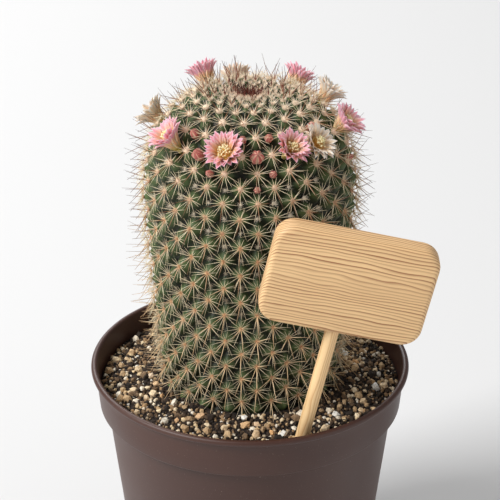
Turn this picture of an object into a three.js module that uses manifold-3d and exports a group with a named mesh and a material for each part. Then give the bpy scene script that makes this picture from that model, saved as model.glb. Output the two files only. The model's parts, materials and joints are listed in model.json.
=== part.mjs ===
// A flowering pincushion cactus in a round plastic nursery pot, with a bare wooden label on a stick.
// Millimetres, +Z up. The origin is the centre of the pot's underside; the viewer stands at -Y.
// Azimuths are degrees about the pot's axis: 0 faces the viewer and +90 points along +X.
// Heights marked "above the rim" count from the top of the pot, and are negative below it.

import * as THREE from "three";
import { mergeVertices } from "three/addons/utils/BufferGeometryUtils.js";
import Module from "manifold-3d";

const wasm = await Module();
wasm.setup();

// ---------------------------------------------------------------- driving dimensions

const GAP = 0.3; // clearance between neighbouring pieces

const POT = {
  height: 105,
  rimRadius: 60,
  rimBore: 57.6,
  beadHeight: 2.2,
  collarTop: 58.3,
  collarFoot: 57,
  collarHeight: 16,
  step: 0.6, // drop of the collar's lower edge to the wall
  wallTop: 54.2,
  baseRadius: 43.6,
  wall: 1.4,
  floor: 1.8,
  sides: 48,
  drains: 6,
  drainRadius: 4,
  drainCircle: 27,
};

const SOIL = {
  besidePlant: -4.7, // height above the rim at the plant
  besideWall: -9.2, // height above the rim at the pot's wall
  sides: 78,
  rings: [33.6, 36.4, 39.2, 42, 44.8, 47.6, 50.4, 53.2],
  ringShift: 0.9, // unevenness of the rings where the pebbles lie
  grit: 1.2, // largest rise or dip of the pebbly surface
  wallGap: 0.45, // between the soil and the inside of the pot
};

const BODY = {
  // half outline over the tubercle tips: radius, height above the rim
  outline: [
    [33, -5.2], [34.2, 8], [35.6, 25], [37.2, 45], [38.7, 64], [38.9, 74], [37.9, 82],
    [35.3, 90], [31.2, 96.3], [25.8, 101.5], [19.5, 105.4], [13, 107], [5, 106], [0, 105],
  ],
  leanBack: 3, // degrees that the plant leans away from the viewer
  rootRadius: 29.4,
  rootDepth: 16, // of the plain end below the soil's surface
  cornersPerTurn: 39, // the spiral steps over 19.5 tubercles and 19.5 axils in each turn
  startAzimuth: 188.7,
  startDistance: 2.1, // along the outline, from its lower end to the first turn of the spiral
  startRise: 0.45, // rise of the first turn as a share of the later ones
  rowStepLow: 0.472, // rise of one turn as a share of the tubercle pitch, low on the body
  rowStepHigh: 0.436, // the same at the shoulder
  rowStepCrown: 0.7, // the same on the crown, where the tubercles are still small
  shoulder: 85, // height above the rim up to which the rows close up
  crownFrom: 88, // height above the rim where the wider steps of the crown begin
  crownTo: 94, // and where they are reached
  tubercleHeight: 3.6,
  tubercleShare: 0.3, // tubercle height as a share of the pitch, where that is less
  tipRise: 0.03, // of the areole above the tubercle's middle, as a share of the pitch
  tipSpread: 0.04, // uneven height of the tubercles as a share of the pitch
  areoleShare: 0.062, // half width of the areole as a share of the pitch
  areoleDome: 0.25,
  lightTilt: 0.12, // how far spines, flowers and buds turn upwards from straight out
  crownRadius: 9, // the spiral ends here and the sunken centre begins
  crownTufts: 13,
};

const SPINE = {
  length: 7.2,
  tilt: 44, // degrees between a spine and its tubercle's axis
  tiltSpread: 14, // degrees
  turnSpread: 24, // degrees, about the tubercle's axis
  crownLength: 6.5,
  crownPitch: 7, // smaller tubercles than this carry one upright spine
  clearance: 0.45,
};

const FLOWER = {
  petals: 16,
  baseRadius: 1.1,
  tubeLength: 5.2,
  throatRadius: 2.7,
  wall: 0.65,
  innerLayer: { midRadius: 4.2, midHeight: 2.6, tipRadius: 5.4, tipHeight: 4.7 },
  outerLayer: { midRadius: 5.1, midHeight: 1.7, tipRadius: 6.7, tipHeight: 2.7 },
  keel: 0.7,
  bossRadius: 1.3,
  bossHeight: 1.4,
  stamen: 1.2,
  seat: 1.5, // height of the tube's foot above the axil
};

const BUD = {
  outline: [[0.8, 0], [1.75, 1.9], [1.9, 3.1], [1.2, 4.4], [0, 5.4]], // half outline: radius, height
  valley: 0.86, // radius between the sepals' ribs as a share of that on them
  sides: 8,
  seat: 1.15,
};

const SIGN = {
  foot: [18.2, -46], // where the stick enters the soil
  footHeight: -8.4, // above the rim
  leanRight: 12.7,
  leanForward: 2,
  turnRight: 1.1,
  stickRadius: 2.5,
  stickDepth: 19,
  pointLength: 10,
  boardBottom: 49.2, // along the stick from the soil
  boardShift: 0.9, // of the board's middle to the right of the stick
  width: 58.2,
  height: 38.2,
  thickness: 9,
  cornerRadius: 7,
  edgeRadius: 2,
  socketDepth: 12,
  sides: 12,
};

// Open flowers: azimuth, height of their axil above the rim, size, colour.
const BLOOMS = [
  [-14.4, 93.5, 1, "pink"],
  [22.5, 94.2, 0.93, "pink"],
  [41, 94.5, 0.93, "cream"],
  [77.9, 95.1, 1, "pink"],
  [105.6, 100.3, 0.95, "cream"],
  [142.5, 100.7, 0.95, "pink"],
  [-171.3, 96.8, 0.97, "peach"],
  [-143.6, 101.5, 1, "pink"],
  [-106.7, 92, 1, "cream"],
  [-51.3, 92.9, 1.04, "pink"],
];

// Closed buds: azimuth, height of their axil above the rim, size.
const BUDS = [
  [-42.1, 98.6, 0.8],
  [-32.8, 93.2, 0.95],
  [4.1, 93.8, 1.05],
  [-5.1, 99, 0.75],
  [-23.6, 87.9, 0.65],
  [4.1, 83.4, 0.6],
  [13.3, 88.4, 0.65],
  [13.3, 99.2, 0.8],
  [50.2, 99.7, 0.8],
  [77.9, 84.4, 0.65],
  [161, 91, 0.9],
];

const COLOURS = {
  pot: 0x5a4640,
  soil: 0x8a7660,
  plant: 0x3f5a36,
  pink: 0xe08fb0,
  cream: 0xf0d9b0,
  peach: 0xf0b59a,
  bud: 0xc8605a,
  wood: 0xe2bd85,
};

const RIM = POT.height;
const UP = new THREE.Vector3(0, 0, 1);

// The plant leans about the point where its axis enters the soil.
const soilCentre = new THREE.Vector3(0, 0, RIM + SOIL.besidePlant);
const plantFrame = new THREE.Matrix4()
  .makeTranslation(soilCentre)
  .multiply(new THREE.Matrix4().makeRotationX(-THREE.MathUtils.degToRad(BODY.leanBack)))
  .multiply(new THREE.Matrix4().makeTranslation(soilCentre.clone().negate()));

// ---------------------------------------------------------------- helpers

// Repeatable random numbers in 0..1 from one seed.
function randomFrom(seed) {
  let state = seed;
  return () => {
    state = (state + 0x6d2b79f5) | 0;
    let mixed = Math.imul(state ^ (state >>> 15), 1 | state);
    mixed = (mixed + Math.imul(mixed ^ (mixed >>> 7), 61 | mixed)) ^ mixed;
    return ((mixed ^ (mixed >>> 14)) >>> 0) / 4294967296;
  };
}

function around(azimuth, radius, height) {
  return new THREE.Vector3(radius * Math.sin(azimuth), -radius * Math.cos(azimuth), height);
}

function mix(low, high, share) {
  return low + (high - low) * THREE.MathUtils.clamp(share, 0, 1);
}

function named(name, geometry, colour, roughness = 0.7) {
  const material = new THREE.MeshStandardMaterial({ color: colour, roughness, metalness: 0 });
  const mesh = new THREE.Mesh(geometry, material);
  mesh.name = name;
  return mesh;
}

// A closed geometry as triangles that share their corners, without those that a pole shrinks to a line.
function welded(geometry) {
  const bare = geometry.clone();
  bare.deleteAttribute("normal");
  bare.deleteAttribute("uv");
  const shape = mergeVertices(bare, 1e-4);
  const order = shape.getIndex().array;
  const kept = [];
  for (let i = 0; i < order.length; i += 3) {
    const [a, b, c] = order.slice(i, i + 3);
    if (a !== b && b !== c && c !== a) kept.push(a, b, c);
  }
  shape.setIndex(kept);
  return shape;
}

function signedVolume(geometry) {
  const place = geometry.getAttribute("position");
  const index = geometry.getIndex();
  const [a, b, c] = [new THREE.Vector3(), new THREE.Vector3(), new THREE.Vector3()];
  let volume = 0;
  for (let i = 0; i < index.count; i += 3) {
    a.fromBufferAttribute(place, index.getX(i));
    b.fromBufferAttribute(place, index.getX(i + 1));
    c.fromBufferAttribute(place, index.getX(i + 2));
    volume += a.dot(b.cross(c)) / 6;
  }
  return volume;
}

// The same closed geometry with its faces pointing outwards.
function outward(geometry) {
  const shape = welded(geometry);
  if (signedVolume(shape) < 0) {
    const order = Array.from(shape.getIndex().array);
    for (let i = 0; i < order.length; i += 3) [order[i + 1], order[i + 2]] = [order[i + 2], order[i + 1]];
    shape.setIndex(order);
  }
  return shape;
}

// A turned piece about the Z axis from its half outline of [radius, height] points.
function turned(outline, sides) {
  const lathe = new THREE.LatheGeometry(outline.map(([r, z]) => new THREE.Vector2(r, z)), sides);
  return outward(lathe.rotateX(Math.PI / 2));
}

function solid(geometry) {
  const place = geometry.getAttribute("position");
  const mesh = new wasm.Mesh({
    numProp: 3,
    vertProperties: new Float32Array(place.array),
    triVerts: new Uint32Array(geometry.getIndex().array),
  });
  return new wasm.Manifold(mesh);
}

function cut(geometry, tools) {
  let body = solid(geometry);
  for (const tool of tools) body = body.subtract(solid(tool));
  const mesh = body.getMesh();
  const result = new THREE.BufferGeometry();
  result.setAttribute("position", new THREE.BufferAttribute(new Float32Array(mesh.vertProperties), 3));
  result.setIndex(new THREE.BufferAttribute(new Uint32Array(mesh.triVerts), 1));
  return result;
}

// Collects triangles of one closed faceted body.
class Facets {
  constructor() {
    this.places = [];
    this.order = [];
  }

  point(place) {
    this.places.push(place.x, place.y, place.z);
    return this.places.length / 3 - 1;
  }

  at(corner) {
    return new THREE.Vector3().fromArray(this.places, corner * 3);
  }

  face(a, b, c) {
    this.order.push(a, b, c);
  }

  quad(a, b, c, d) {
    this.order.push(a, b, c, a, c, d);
  }

  // A three-sided needle raised on the triangle a, b, c, or the flat triangle where there is no tip.
  spike(a, b, c, tip) {
    if (!tip) {
      this.face(a, b, c);
      return;
    }
    const end = this.point(tip);
    this.face(a, b, end);
    this.face(b, c, end);
    this.face(c, a, end);
  }

  // A slim needle in the middle of a larger triangle.
  needle(a, b, c, share, tip) {
    const corners = [a, b, c];
    const middle = new THREE.Vector3();
    corners.forEach((corner) => middle.addScaledVector(this.at(corner), 1 / 3));
    const inner = corners.map((corner) => this.point(middle.clone().lerp(this.at(corner), share)));
    corners.forEach((corner, i) => {
      const next = (i + 1) % 3;
      this.quad(corner, corners[next], inner[next], inner[i]);
    });
    this.spike(...inner, tip(middle));
  }

  geometry() {
    const shape = new THREE.BufferGeometry();
    shape.setAttribute("position", new THREE.Float32BufferAttribute(this.places, 3));
    shape.setIndex(this.order);
    return shape;
  }
}

// ---------------------------------------------------------------- pot

// Thin rounded bead at the rim, a deep collar, a tapering wall and a flat floor with drainage holes.
function potGeometry() {
  const collarFoot = RIM - POT.collarHeight;
  const outline = [
    [0, 0],
    [POT.baseRadius, 0],
    [POT.wallTop, collarFoot - POT.step],
    [POT.collarFoot, collarFoot],
    [POT.collarTop, RIM - POT.beadHeight],
    [POT.rimRadius, RIM - POT.beadHeight * 0.8],
    [POT.rimRadius, RIM - POT.beadHeight * 0.3],
    [POT.rimRadius - 0.7, RIM],
    [POT.rimBore + 0.7, RIM],
    [POT.rimBore, RIM - 0.8],
    [POT.collarFoot - POT.wall, collarFoot - 0.5],
    [POT.wallTop - POT.wall, collarFoot - 1.5],
    [POT.baseRadius - POT.wall, POT.floor],
    [0, POT.floor],
  ];
  const drains = [];
  for (let i = 0; i < POT.drains; i++) {
    const place = around((i / POT.drains) * 2 * Math.PI, POT.drainCircle, 0);
    const bore = [[0, -1], [POT.drainRadius, -1], [POT.drainRadius, POT.floor + 1], [0, POT.floor + 1]];
    drains.push(turned(bore, 12).translate(place.x, place.y, 0));
  }
  return cut(turned(outline, POT.sides), drains);
}

// ---------------------------------------------------------------- sign

// The sign's own frame: origin at the soil, +Z up the stick, -Y out of the board's face.
function signFrame() {
  const lean = THREE.MathUtils.degToRad(SIGN.leanRight);
  const forward = THREE.MathUtils.degToRad(SIGN.leanForward);
  const turn = THREE.MathUtils.degToRad(SIGN.turnRight);
  const x = Math.sin(lean);
  const y = -Math.sin(forward);
  const up = new THREE.Vector3(x, y, Math.sqrt(1 - x * x - y * y));
  const back = new THREE.Vector3(0, 1, 0).addScaledVector(up, -up.y).normalize();
  const right = new THREE.Vector3().crossVectors(back, up);
  back.applyAxisAngle(up, turn);
  right.applyAxisAngle(up, turn);
  const frame = new THREE.Matrix4().makeBasis(right, back, up);
  return frame.setPosition(SIGN.foot[0], SIGN.foot[1], RIM + SIGN.footHeight);
}

// Half outline of the pointed stick, grown by a clearance for the holes that it stands in.
function stickOutline(clearance, top) {
  const radius = SIGN.stickRadius + clearance;
  return [
    [0, -SIGN.stickDepth - clearance],
    [0.6 + clearance, -SIGN.stickDepth + 0.4],
    [radius, -SIGN.stickDepth + SIGN.pointLength],
    [radius, top],
    [0, top],
  ];
}

function stickGeometry() {
  return turned(stickOutline(0, SIGN.boardBottom + SIGN.socketDepth - GAP), SIGN.sides);
}

function boardGeometry() {
  const halfWidth = SIGN.width / 2 - SIGN.edgeRadius;
  const halfHeight = SIGN.height / 2 - SIGN.edgeRadius;
  const radius = SIGN.cornerRadius - SIGN.edgeRadius;
  const face = new THREE.Shape();
  const quarter = Math.PI / 2;
  const corners = [[1, -1], [1, 1], [-1, 1], [-1, -1]];
  corners.forEach(([sideways, upwards], i) => {
    const centreX = sideways * (halfWidth - radius);
    const centreY = upwards * (halfHeight - radius);
    face.absarc(centreX, centreY, radius, (i - 1) * quarter, i * quarter, false);
  });
  face.closePath();
  const board = new THREE.ExtrudeGeometry(face, {
    depth: SIGN.thickness - 2 * SIGN.edgeRadius,
    bevelEnabled: true,
    bevelSize: SIGN.edgeRadius,
    bevelThickness: SIGN.edgeRadius,
    bevelSegments: 2,
    curveSegments: 3,
  });
  board.translate(0, 0, -(SIGN.thickness / 2 - SIGN.edgeRadius));
  board.rotateX(Math.PI / 2);
  board.translate(SIGN.boardShift, 0, SIGN.boardBottom + SIGN.height / 2);
  const bore = SIGN.stickRadius + GAP;
  const top = SIGN.boardBottom + SIGN.socketDepth;
  const socket = turned([[0, 0], [bore, 0], [bore, top], [0, top]], SIGN.sides);
  return cut(outward(board), [socket]);
}

// ---------------------------------------------------------------- soil

function soilHeight(radius) {
  const share = (radius - BODY.rootRadius) / (POT.collarFoot - BODY.rootRadius);
  return RIM + mix(SOIL.besidePlant, SOIL.besideWall, share);
}

// Grit mix that fills the pot, with a plain hole for the plant's root end and one for the stick.
function soilGeometry(stickHole) {
  const hole = BODY.rootRadius + GAP;
  const holeFloor = RIM + SOIL.besidePlant - BODY.rootDepth - GAP;
  const rootHole = turned([[0, holeFloor], [hole, holeFloor], [hole, RIM], [0, RIM]], POT.sides);
  rootHole.applyMatrix4(plantFrame);
  const collarFoot = RIM - POT.collarHeight;
  const wallRadius = POT.collarFoot - POT.wall + 0.7;
  const outline = [
    [0, soilHeight(hole)],
    ...SOIL.rings.map((radius) => [radius, soilHeight(radius)]),
    [wallRadius, soilHeight(wallRadius)],
    [POT.collarFoot - POT.wall - SOIL.wallGap, collarFoot - 0.1],
    [POT.wallTop - POT.wall - SOIL.wallGap, collarFoot - 1.1],
    [POT.baseRadius - POT.wall - SOIL.wallGap, POT.floor + GAP],
    [0, POT.floor + GAP],
  ];
  const lathe = new THREE.LatheGeometry(outline.map(([r, z]) => new THREE.Vector2(r, z)), SOIL.sides);
  lathe.rotateX(Math.PI / 2);
  const random = randomFrom(7);
  const uneven = () => random() * 2 - 1;
  const place = lathe.getAttribute("position");
  for (let side = 0; side < SOIL.sides; side++) {
    for (let ring = 2; ring <= SOIL.rings.length; ring++) {
      const shift = [uneven() * SOIL.ringShift, uneven() * SOIL.ringShift, uneven() * SOIL.grit];
      for (const column of side ? [side] : [0, SOIL.sides]) {
        const corner = column * outline.length + ring;
        const [x, y, z] = [place.getX(corner), place.getY(corner), place.getZ(corner)];
        place.setXYZ(corner, x + shift[0], y + shift[1], z + shift[2]);
      }
    }
  }
  return cut(outward(lathe), [stickHole, rootHole]);
}

// ---------------------------------------------------------------- cactus body

const meridian = new THREE.SplineCurve(BODY.outline.map(([r, z]) => new THREE.Vector2(r, RIM + z)));
meridian.arcLengthDivisions = 600;
const meridianLength = meridian.getLength();

// Radius, height and outward direction of the body's outline, a distance along it from the soil.
function outlineAt(distance) {
  const share = THREE.MathUtils.clamp(distance / meridianLength, 0, 1);
  const place = meridian.getPointAt(share);
  const along = meridian.getTangentAt(share);
  return { radius: place.x, height: place.y, out: along.y, rise: -along.x };
}

function pitchAt(radius) {
  return (4 * Math.PI * radius) / BODY.cornersPerTurn;
}

// Distances along the outline of every corner of the generative spiral: even ones are tubercles
// and odd ones are axils, so each tubercle has an axil on its right, left, upper and lower side.
function spiralDistances() {
  const distances = [];
  let distance = BODY.startDistance;
  for (let i = 0; outlineAt(distance).radius > BODY.crownRadius; i++) {
    distances.push(distance);
    const { radius, height } = outlineAt(distance);
    const side = mix(BODY.rowStepLow, BODY.rowStepHigh, (height - RIM) / BODY.shoulder);
    const crown = (height - RIM - BODY.crownFrom) / (BODY.crownTo - BODY.crownFrom);
    const rowStep = mix(side, BODY.rowStepCrown, crown) * pitchAt(radius);
    const start = mix(BODY.startRise, 1, i / BODY.cornersPerTurn);
    distance += (rowStep * start) / BODY.cornersPerTurn;
  }
  if (distances.length % 2 === 0) distances.pop(); // the last corner is a tubercle
  return distances;
}

const spiral = spiralDistances();

// Everything that a spiral corner needs: its place on the axil surface or at a tubercle's tip.
function cornerFrame(corner, raised) {
  const azimuth = THREE.MathUtils.degToRad(BODY.startAzimuth) + (corner * 2 * Math.PI) / BODY.cornersPerTurn;
  const { radius, height, out, rise } = outlineAt(spiral[corner]);
  const pitch = pitchAt(radius);
  const depth = Math.min(BODY.tubercleHeight, BODY.tubercleShare * pitch);
  const outwards = around(azimuth, out, rise);
  const upwards = around(azimuth, -rise, out);
  const rightwards = new THREE.Vector3().crossVectors(upwards, outwards);
  const place = around(azimuth, radius, height);
  if (!raised) place.addScaledVector(outwards, -depth);
  return { place, outwards, upwards, rightwards, pitch, depth, azimuth };
}

// The axil nearest to an azimuth in degrees and a height above the rim.
function axilNear(azimuth, height) {
  let best = null;
  for (let corner = 1; corner < spiral.length; corner += 2) {
    const frame = cornerFrame(corner, false);
    const turn = frame.azimuth - THREE.MathUtils.degToRad(azimuth);
    const sideways = Math.atan2(Math.sin(turn), Math.cos(turn)) * outlineAt(spiral[corner]).radius;
    const off = Math.hypot(sideways, outlineAt(spiral[corner]).height - RIM - height);
    if (!best || off < best.off) best = { ...frame, off };
  }
  return best;
}

// A flower or bud stands on its axil along the outward direction, tilted a little to the light.
function seated(name, geometry, colour, [azimuth, height, size], seat) {
  const axil = axilNear(azimuth, height);
  const axis = axil.outwards.clone().addScaledVector(UP, BODY.lightTilt).normalize();
  const mesh = named(name, geometry, colour, 0.6);
  mesh.position.copy(axil.place).addScaledVector(axis, seat);
  mesh.quaternion.setFromUnitVectors(UP, axis);
  mesh.scale.setScalar(size);
  return mesh;
}

// Distance from a point to the open cone that a flower or bud fills.
function coneClearance(mesh, reach, radiusAt) {
  const local = new THREE.Vector3();
  const inverse = new THREE.Matrix4().compose(mesh.position, mesh.quaternion, mesh.scale).invert();
  return (point) => {
    local.copy(point).applyMatrix4(inverse);
    const beyond = Math.max(local.z - reach, -local.z, 0);
    const beside = Math.hypot(local.x, local.y) - radiusAt(Math.max(local.z, 0));
    return Math.max(beyond, beside) * mesh.scale.x;
  };
}

function signClearance(frame) {
  const inverse = frame.clone().invert();
  const local = new THREE.Vector3();
  const half = new THREE.Vector3(SIGN.width / 2, SIGN.thickness / 2, SIGN.height / 2);
  return (point) => {
    local.copy(point).applyMatrix4(inverse);
    const stick = Math.hypot(local.x, local.y) - SIGN.stickRadius;
    local.x -= SIGN.boardShift;
    local.z -= SIGN.boardBottom + half.z;
    const board = Math.max(Math.abs(local.x) - half.x, Math.abs(local.y) - half.y, Math.abs(local.z) - half.z);
    return Math.min(stick, board);
  };
}

function soilClearance(point) {
  return point.z - soilHeight(Math.hypot(point.x, point.y)) - SOIL.grit;
}

// The spine's tip at the largest share of its length that stays clear of its neighbours.
function clearTip(root, direction, length, obstacles) {
  for (const share of [1, 0.7, 0.45]) {
    const isClear = [0.2, 0.4, 0.6, 0.8, 1].every((step) => {
      const point = root.clone().addScaledVector(direction, length * share * step);
      return obstacles.every((obstacle) => obstacle(point) > SPINE.clearance);
    });
    if (isClear) return root.clone().addScaledVector(direction, length * share);
  }
  return null;
}

// One tubercle: eight flank facets up to a square areole, with its spines raised on the areole.
function addTubercle(facets, frame, corners, random, obstacles) {
  const { outwards, upwards, rightwards, pitch } = frame;
  const [right, up, left, down] = corners;
  const half = pitch * BODY.areoleShare;
  const tip = frame.place.clone().addScaledVector(upwards, pitch * BODY.tipRise);
  tip.addScaledVector(outwards, (random() - 0.5) * BODY.tipSpread * pitch);
  const areole = [[1, 1], [-1, 1], [-1, -1], [1, -1]].map(([sideways, rise]) =>
    facets.point(tip.clone().addScaledVector(rightwards, sideways * half).addScaledVector(upwards, rise * half)),
  );
  const [upRight, upLeft, downLeft, downRight] = areole;
  facets.face(right, up, upRight);
  facets.face(up, left, upLeft);
  facets.face(left, down, downLeft);
  facets.face(down, right, downRight);
  facets.face(right, upRight, downRight);
  facets.face(up, upLeft, upRight);
  facets.face(left, downLeft, upLeft);
  facets.face(down, downRight, downLeft);
  const axis = outwards.clone().addScaledVector(upwards, BODY.lightTilt).normalize();
  if (pitch < SPINE.crownPitch) {
    const sway = rightwards.clone().multiplyScalar(random() - 0.5).addScaledVector(upwards, random() - 0.6);
    const direction = axis.addScaledVector(sway, 0.5).normalize();
    const length = SPINE.crownLength * (0.8 + 0.4 * random());
    const end = clearTip(tip, direction, length, obstacles);
    if (end) {
      const centre = facets.point(end);
      areole.forEach((corner, i) => facets.face(corner, areole[(i + 1) % 4], centre));
    } else {
      facets.quad(...areole);
    }
    return;
  }
  const centre = facets.point(tip.clone().addScaledVector(outwards, BODY.areoleDome));
  const sides = [
    [downRight, upRight, 0],
    [upRight, upLeft, 90],
    [upLeft, downLeft, 180],
    [downLeft, downRight, 270],
  ];
  for (const [first, second, heading] of sides) {
    const turn = THREE.MathUtils.degToRad(heading + (random() - 0.5) * SPINE.turnSpread);
    const tilt = THREE.MathUtils.degToRad(SPINE.tilt + (random() - 0.5) * SPINE.tiltSpread);
    const sideways = rightwards.clone().multiplyScalar(Math.cos(turn)).addScaledVector(upwards, Math.sin(turn));
    const direction = axis.clone().multiplyScalar(Math.cos(tilt)).addScaledVector(sideways, Math.sin(tilt));
    const length = SPINE.length * (0.88 + 0.24 * random());
    facets.spike(centre, first, second, clearTip(tip, direction, length, obstacles));
  }
}

// The plain root end below the first turn of the spiral.
function addRootEnd(facets, turn) {
  const floor = RIM + SOIL.besidePlant - BODY.rootDepth;
  const foot = [];
  for (let i = 0; i < turn; i++) {
    foot.push(facets.point(around(cornerFrame(i, false).azimuth, BODY.rootRadius, floor)));
  }
  const centre = facets.point(new THREE.Vector3(0, 0, floor));
  for (let i = 0; i < turn; i++) facets.face(centre, foot[(i + 1) % turn], foot[i]);
  for (let i = 0; i < turn - 1; i++) facets.quad(foot[i], foot[i + 1], i + 1, i);
  const last = turn - 1;
  facets.face(last, foot[last], foot[0]);
  facets.face(last, foot[0], 0);
  facets.face(last, 0, turn);
}

// The sunken centre of the crown, set with young upright spines.
function addCrownCentre(facets, turn, count, random) {
  const top = outlineAt(meridianLength).height;
  const upright = (middle) => {
    const sway = new THREE.Vector3(random() - 0.5, random() - 0.5, 0).multiplyScalar(0.5);
    const direction = sway.addScaledVector(middle.clone().setZ(0), 0.04).add(UP).normalize();
    return middle.clone().addScaledVector(direction, SPINE.crownLength * (0.7 + 0.4 * random()));
  };
  const first = count - turn - 1;
  const tufts = BODY.crownTufts;
  const ring = [];
  for (let i = 0; i < tufts; i++) {
    const { azimuth } = cornerFrame(first + 3 * i, false);
    const middle = azimuth + (3 * Math.PI) / BODY.cornersPerTurn;
    ring.push(facets.point(around(middle, BODY.crownRadius * 0.5, top - 0.6)));
  }
  const centre = facets.point(new THREE.Vector3(0, 0, top - 0.9));
  for (let i = 0; i < tufts; i++) {
    const outer = first + 3 * i;
    const next = ring[(i + 1) % tufts];
    facets.face(outer, outer + 1, ring[i]);
    facets.needle(outer + 1, outer + 2, ring[i], 0.4, upright);
    facets.face(outer + 2, outer + 3, ring[i]);
    facets.face(outer + 3, next, ring[i]);
    facets.needle(ring[i], next, centre, 0.35, upright);
  }
  facets.face(count - 1, first, ring[0]);
}

function bodyGeometry(obstacles) {
  const facets = new Facets();
  const random = randomFrom(19);
  const turn = BODY.cornersPerTurn;
  const count = spiral.length;
  for (let corner = 0; corner < count; corner++) {
    const frame = cornerFrame(corner, false);
    const isRooted = corner <= turn;
    const { height } = outlineAt(spiral[corner]);
    facets.point(isRooted ? around(frame.azimuth, BODY.rootRadius, height) : frame.place);
  }
  for (let corner = 0; corner < count; corner += 2) {
    const sides = [corner + 1, corner + turn, corner - 1, corner - turn];
    const isInside = sides.map((side) => side >= 0 && side < count);
    if (isInside.every(Boolean)) {
      addTubercle(facets, cornerFrame(corner, true), sides, random, obstacles);
      continue;
    }
    sides.forEach((side, i) => {
      const next = (i + 1) % 4;
      if (isInside[i] && isInside[next]) facets.face(corner, side, sides[next]);
    });
  }
  addRootEnd(facets, turn);
  addCrownCentre(facets, turn, count, random);
  return facets.geometry();
}

// ---------------------------------------------------------------- flowers and buds

// Funnel tube, petals in two alternating layers with a keel on their backs, and a stamen boss.
function flowerGeometry() {
  const facets = new Facets();
  const petals = FLOWER.petals;
  const columns = petals / 2;
  const step = (2 * Math.PI) / petals;
  const ring = (amount, radius, height, shift = 0) =>
    Array.from({ length: amount }, (_, i) =>
      facets.point(around((i + shift) * ((2 * Math.PI) / amount), radius, height)),
    );
  const throat = FLOWER.tubeLength;
  const foot = facets.point(new THREE.Vector3(0, 0, 0));
  const tube = ring(columns, FLOWER.baseRadius, 0);
  const notchOut = ring(petals, FLOWER.throatRadius, throat);
  const notchIn = ring(petals, FLOWER.throatRadius - FLOWER.wall, throat + 0.1);
  const bossFoot = ring(columns, FLOWER.bossRadius, throat - 0.6);
  const bossTop = ring(columns, FLOWER.bossRadius * 0.85, throat + FLOWER.bossHeight);
  const stigma = facets.point(new THREE.Vector3(0, 0, throat + FLOWER.bossHeight + 0.2));
  for (let i = 0; i < columns; i++) {
    const next = (i + 1) % columns;
    const [a, b, c] = [2 * i, 2 * i + 1, (2 * i + 2) % petals];
    facets.face(foot, tube[next], tube[i]);
    facets.face(tube[i], notchOut[b], notchOut[a]);
    facets.face(tube[i], tube[next], notchOut[b]);
    facets.face(tube[next], notchOut[c], notchOut[b]);
    facets.face(bossFoot[i], notchIn[a], notchIn[b]);
    facets.face(bossFoot[i], notchIn[b], bossFoot[next]);
    facets.face(bossFoot[next], notchIn[b], notchIn[c]);
    facets.quad(bossFoot[i], bossFoot[next], bossTop[next], bossTop[i]);
    const anther = around((i + 0.5) * 2 * step, FLOWER.bossRadius, throat + FLOWER.bossHeight + FLOWER.stamen);
    facets.spike(bossTop[i], bossTop[next], stigma, anther);
  }
  for (let i = 0; i < petals; i++) {
    const layer = i % 2 ? FLOWER.innerLayer : FLOWER.outerLayer;
    const next = (i + 1) % petals;
    const middle = (i + 0.5) * step;
    const half = step * 0.47;
    const left = facets.point(around(middle - half, layer.midRadius, throat + layer.midHeight));
    const right = facets.point(around(middle + half, layer.midRadius, throat + layer.midHeight));
    const keelRadius = layer.midRadius + FLOWER.keel * 0.6;
    const keel = facets.point(around(middle, keelRadius, throat + layer.midHeight - FLOWER.keel * 0.8));
    const tip = facets.point(around(middle, layer.tipRadius, throat + layer.tipHeight));
    facets.quad(notchIn[next], notchIn[i], left, right);
    facets.face(right, left, tip);
    facets.face(notchOut[i], notchOut[next], keel);
    facets.face(notchOut[i], keel, left);
    facets.face(notchOut[next], right, keel);
    facets.face(left, keel, tip);
    facets.face(keel, right, tip);
    facets.face(notchOut[i], left, notchIn[i]);
    facets.face(notchOut[next], notchIn[next], right);
  }
  return outward(facets.geometry());
}

function budRadius(height) {
  const above = BUD.outline.findIndex(([, place]) => place >= height);
  if (above < 0) return 0;
  if (above === 0) return BUD.outline[0][0];
  const [low, high] = [BUD.outline[above - 1], BUD.outline[above]];
  return mix(low[0], high[0], (height - low[1]) / (high[1] - low[1]));
}

// A closed bud: an egg with its sepals standing out as ribs.
function budGeometry() {
  const outline = [[0, 0], ...BUD.outline].map(([r, z]) => new THREE.Vector2(r, z));
  const egg = new THREE.LatheGeometry(outline, BUD.sides).rotateX(Math.PI / 2);
  const place = egg.getAttribute("position");
  for (let i = 0; i < place.count; i++) {
    const isRib = Math.floor(i / outline.length) % 2 === 0;
    const share = isRib ? 1 : BUD.valley;
    place.setXYZ(i, place.getX(i) * share, place.getY(i) * share, place.getZ(i));
  }
  return outward(egg);
}

// ---------------------------------------------------------------- assembly

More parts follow.
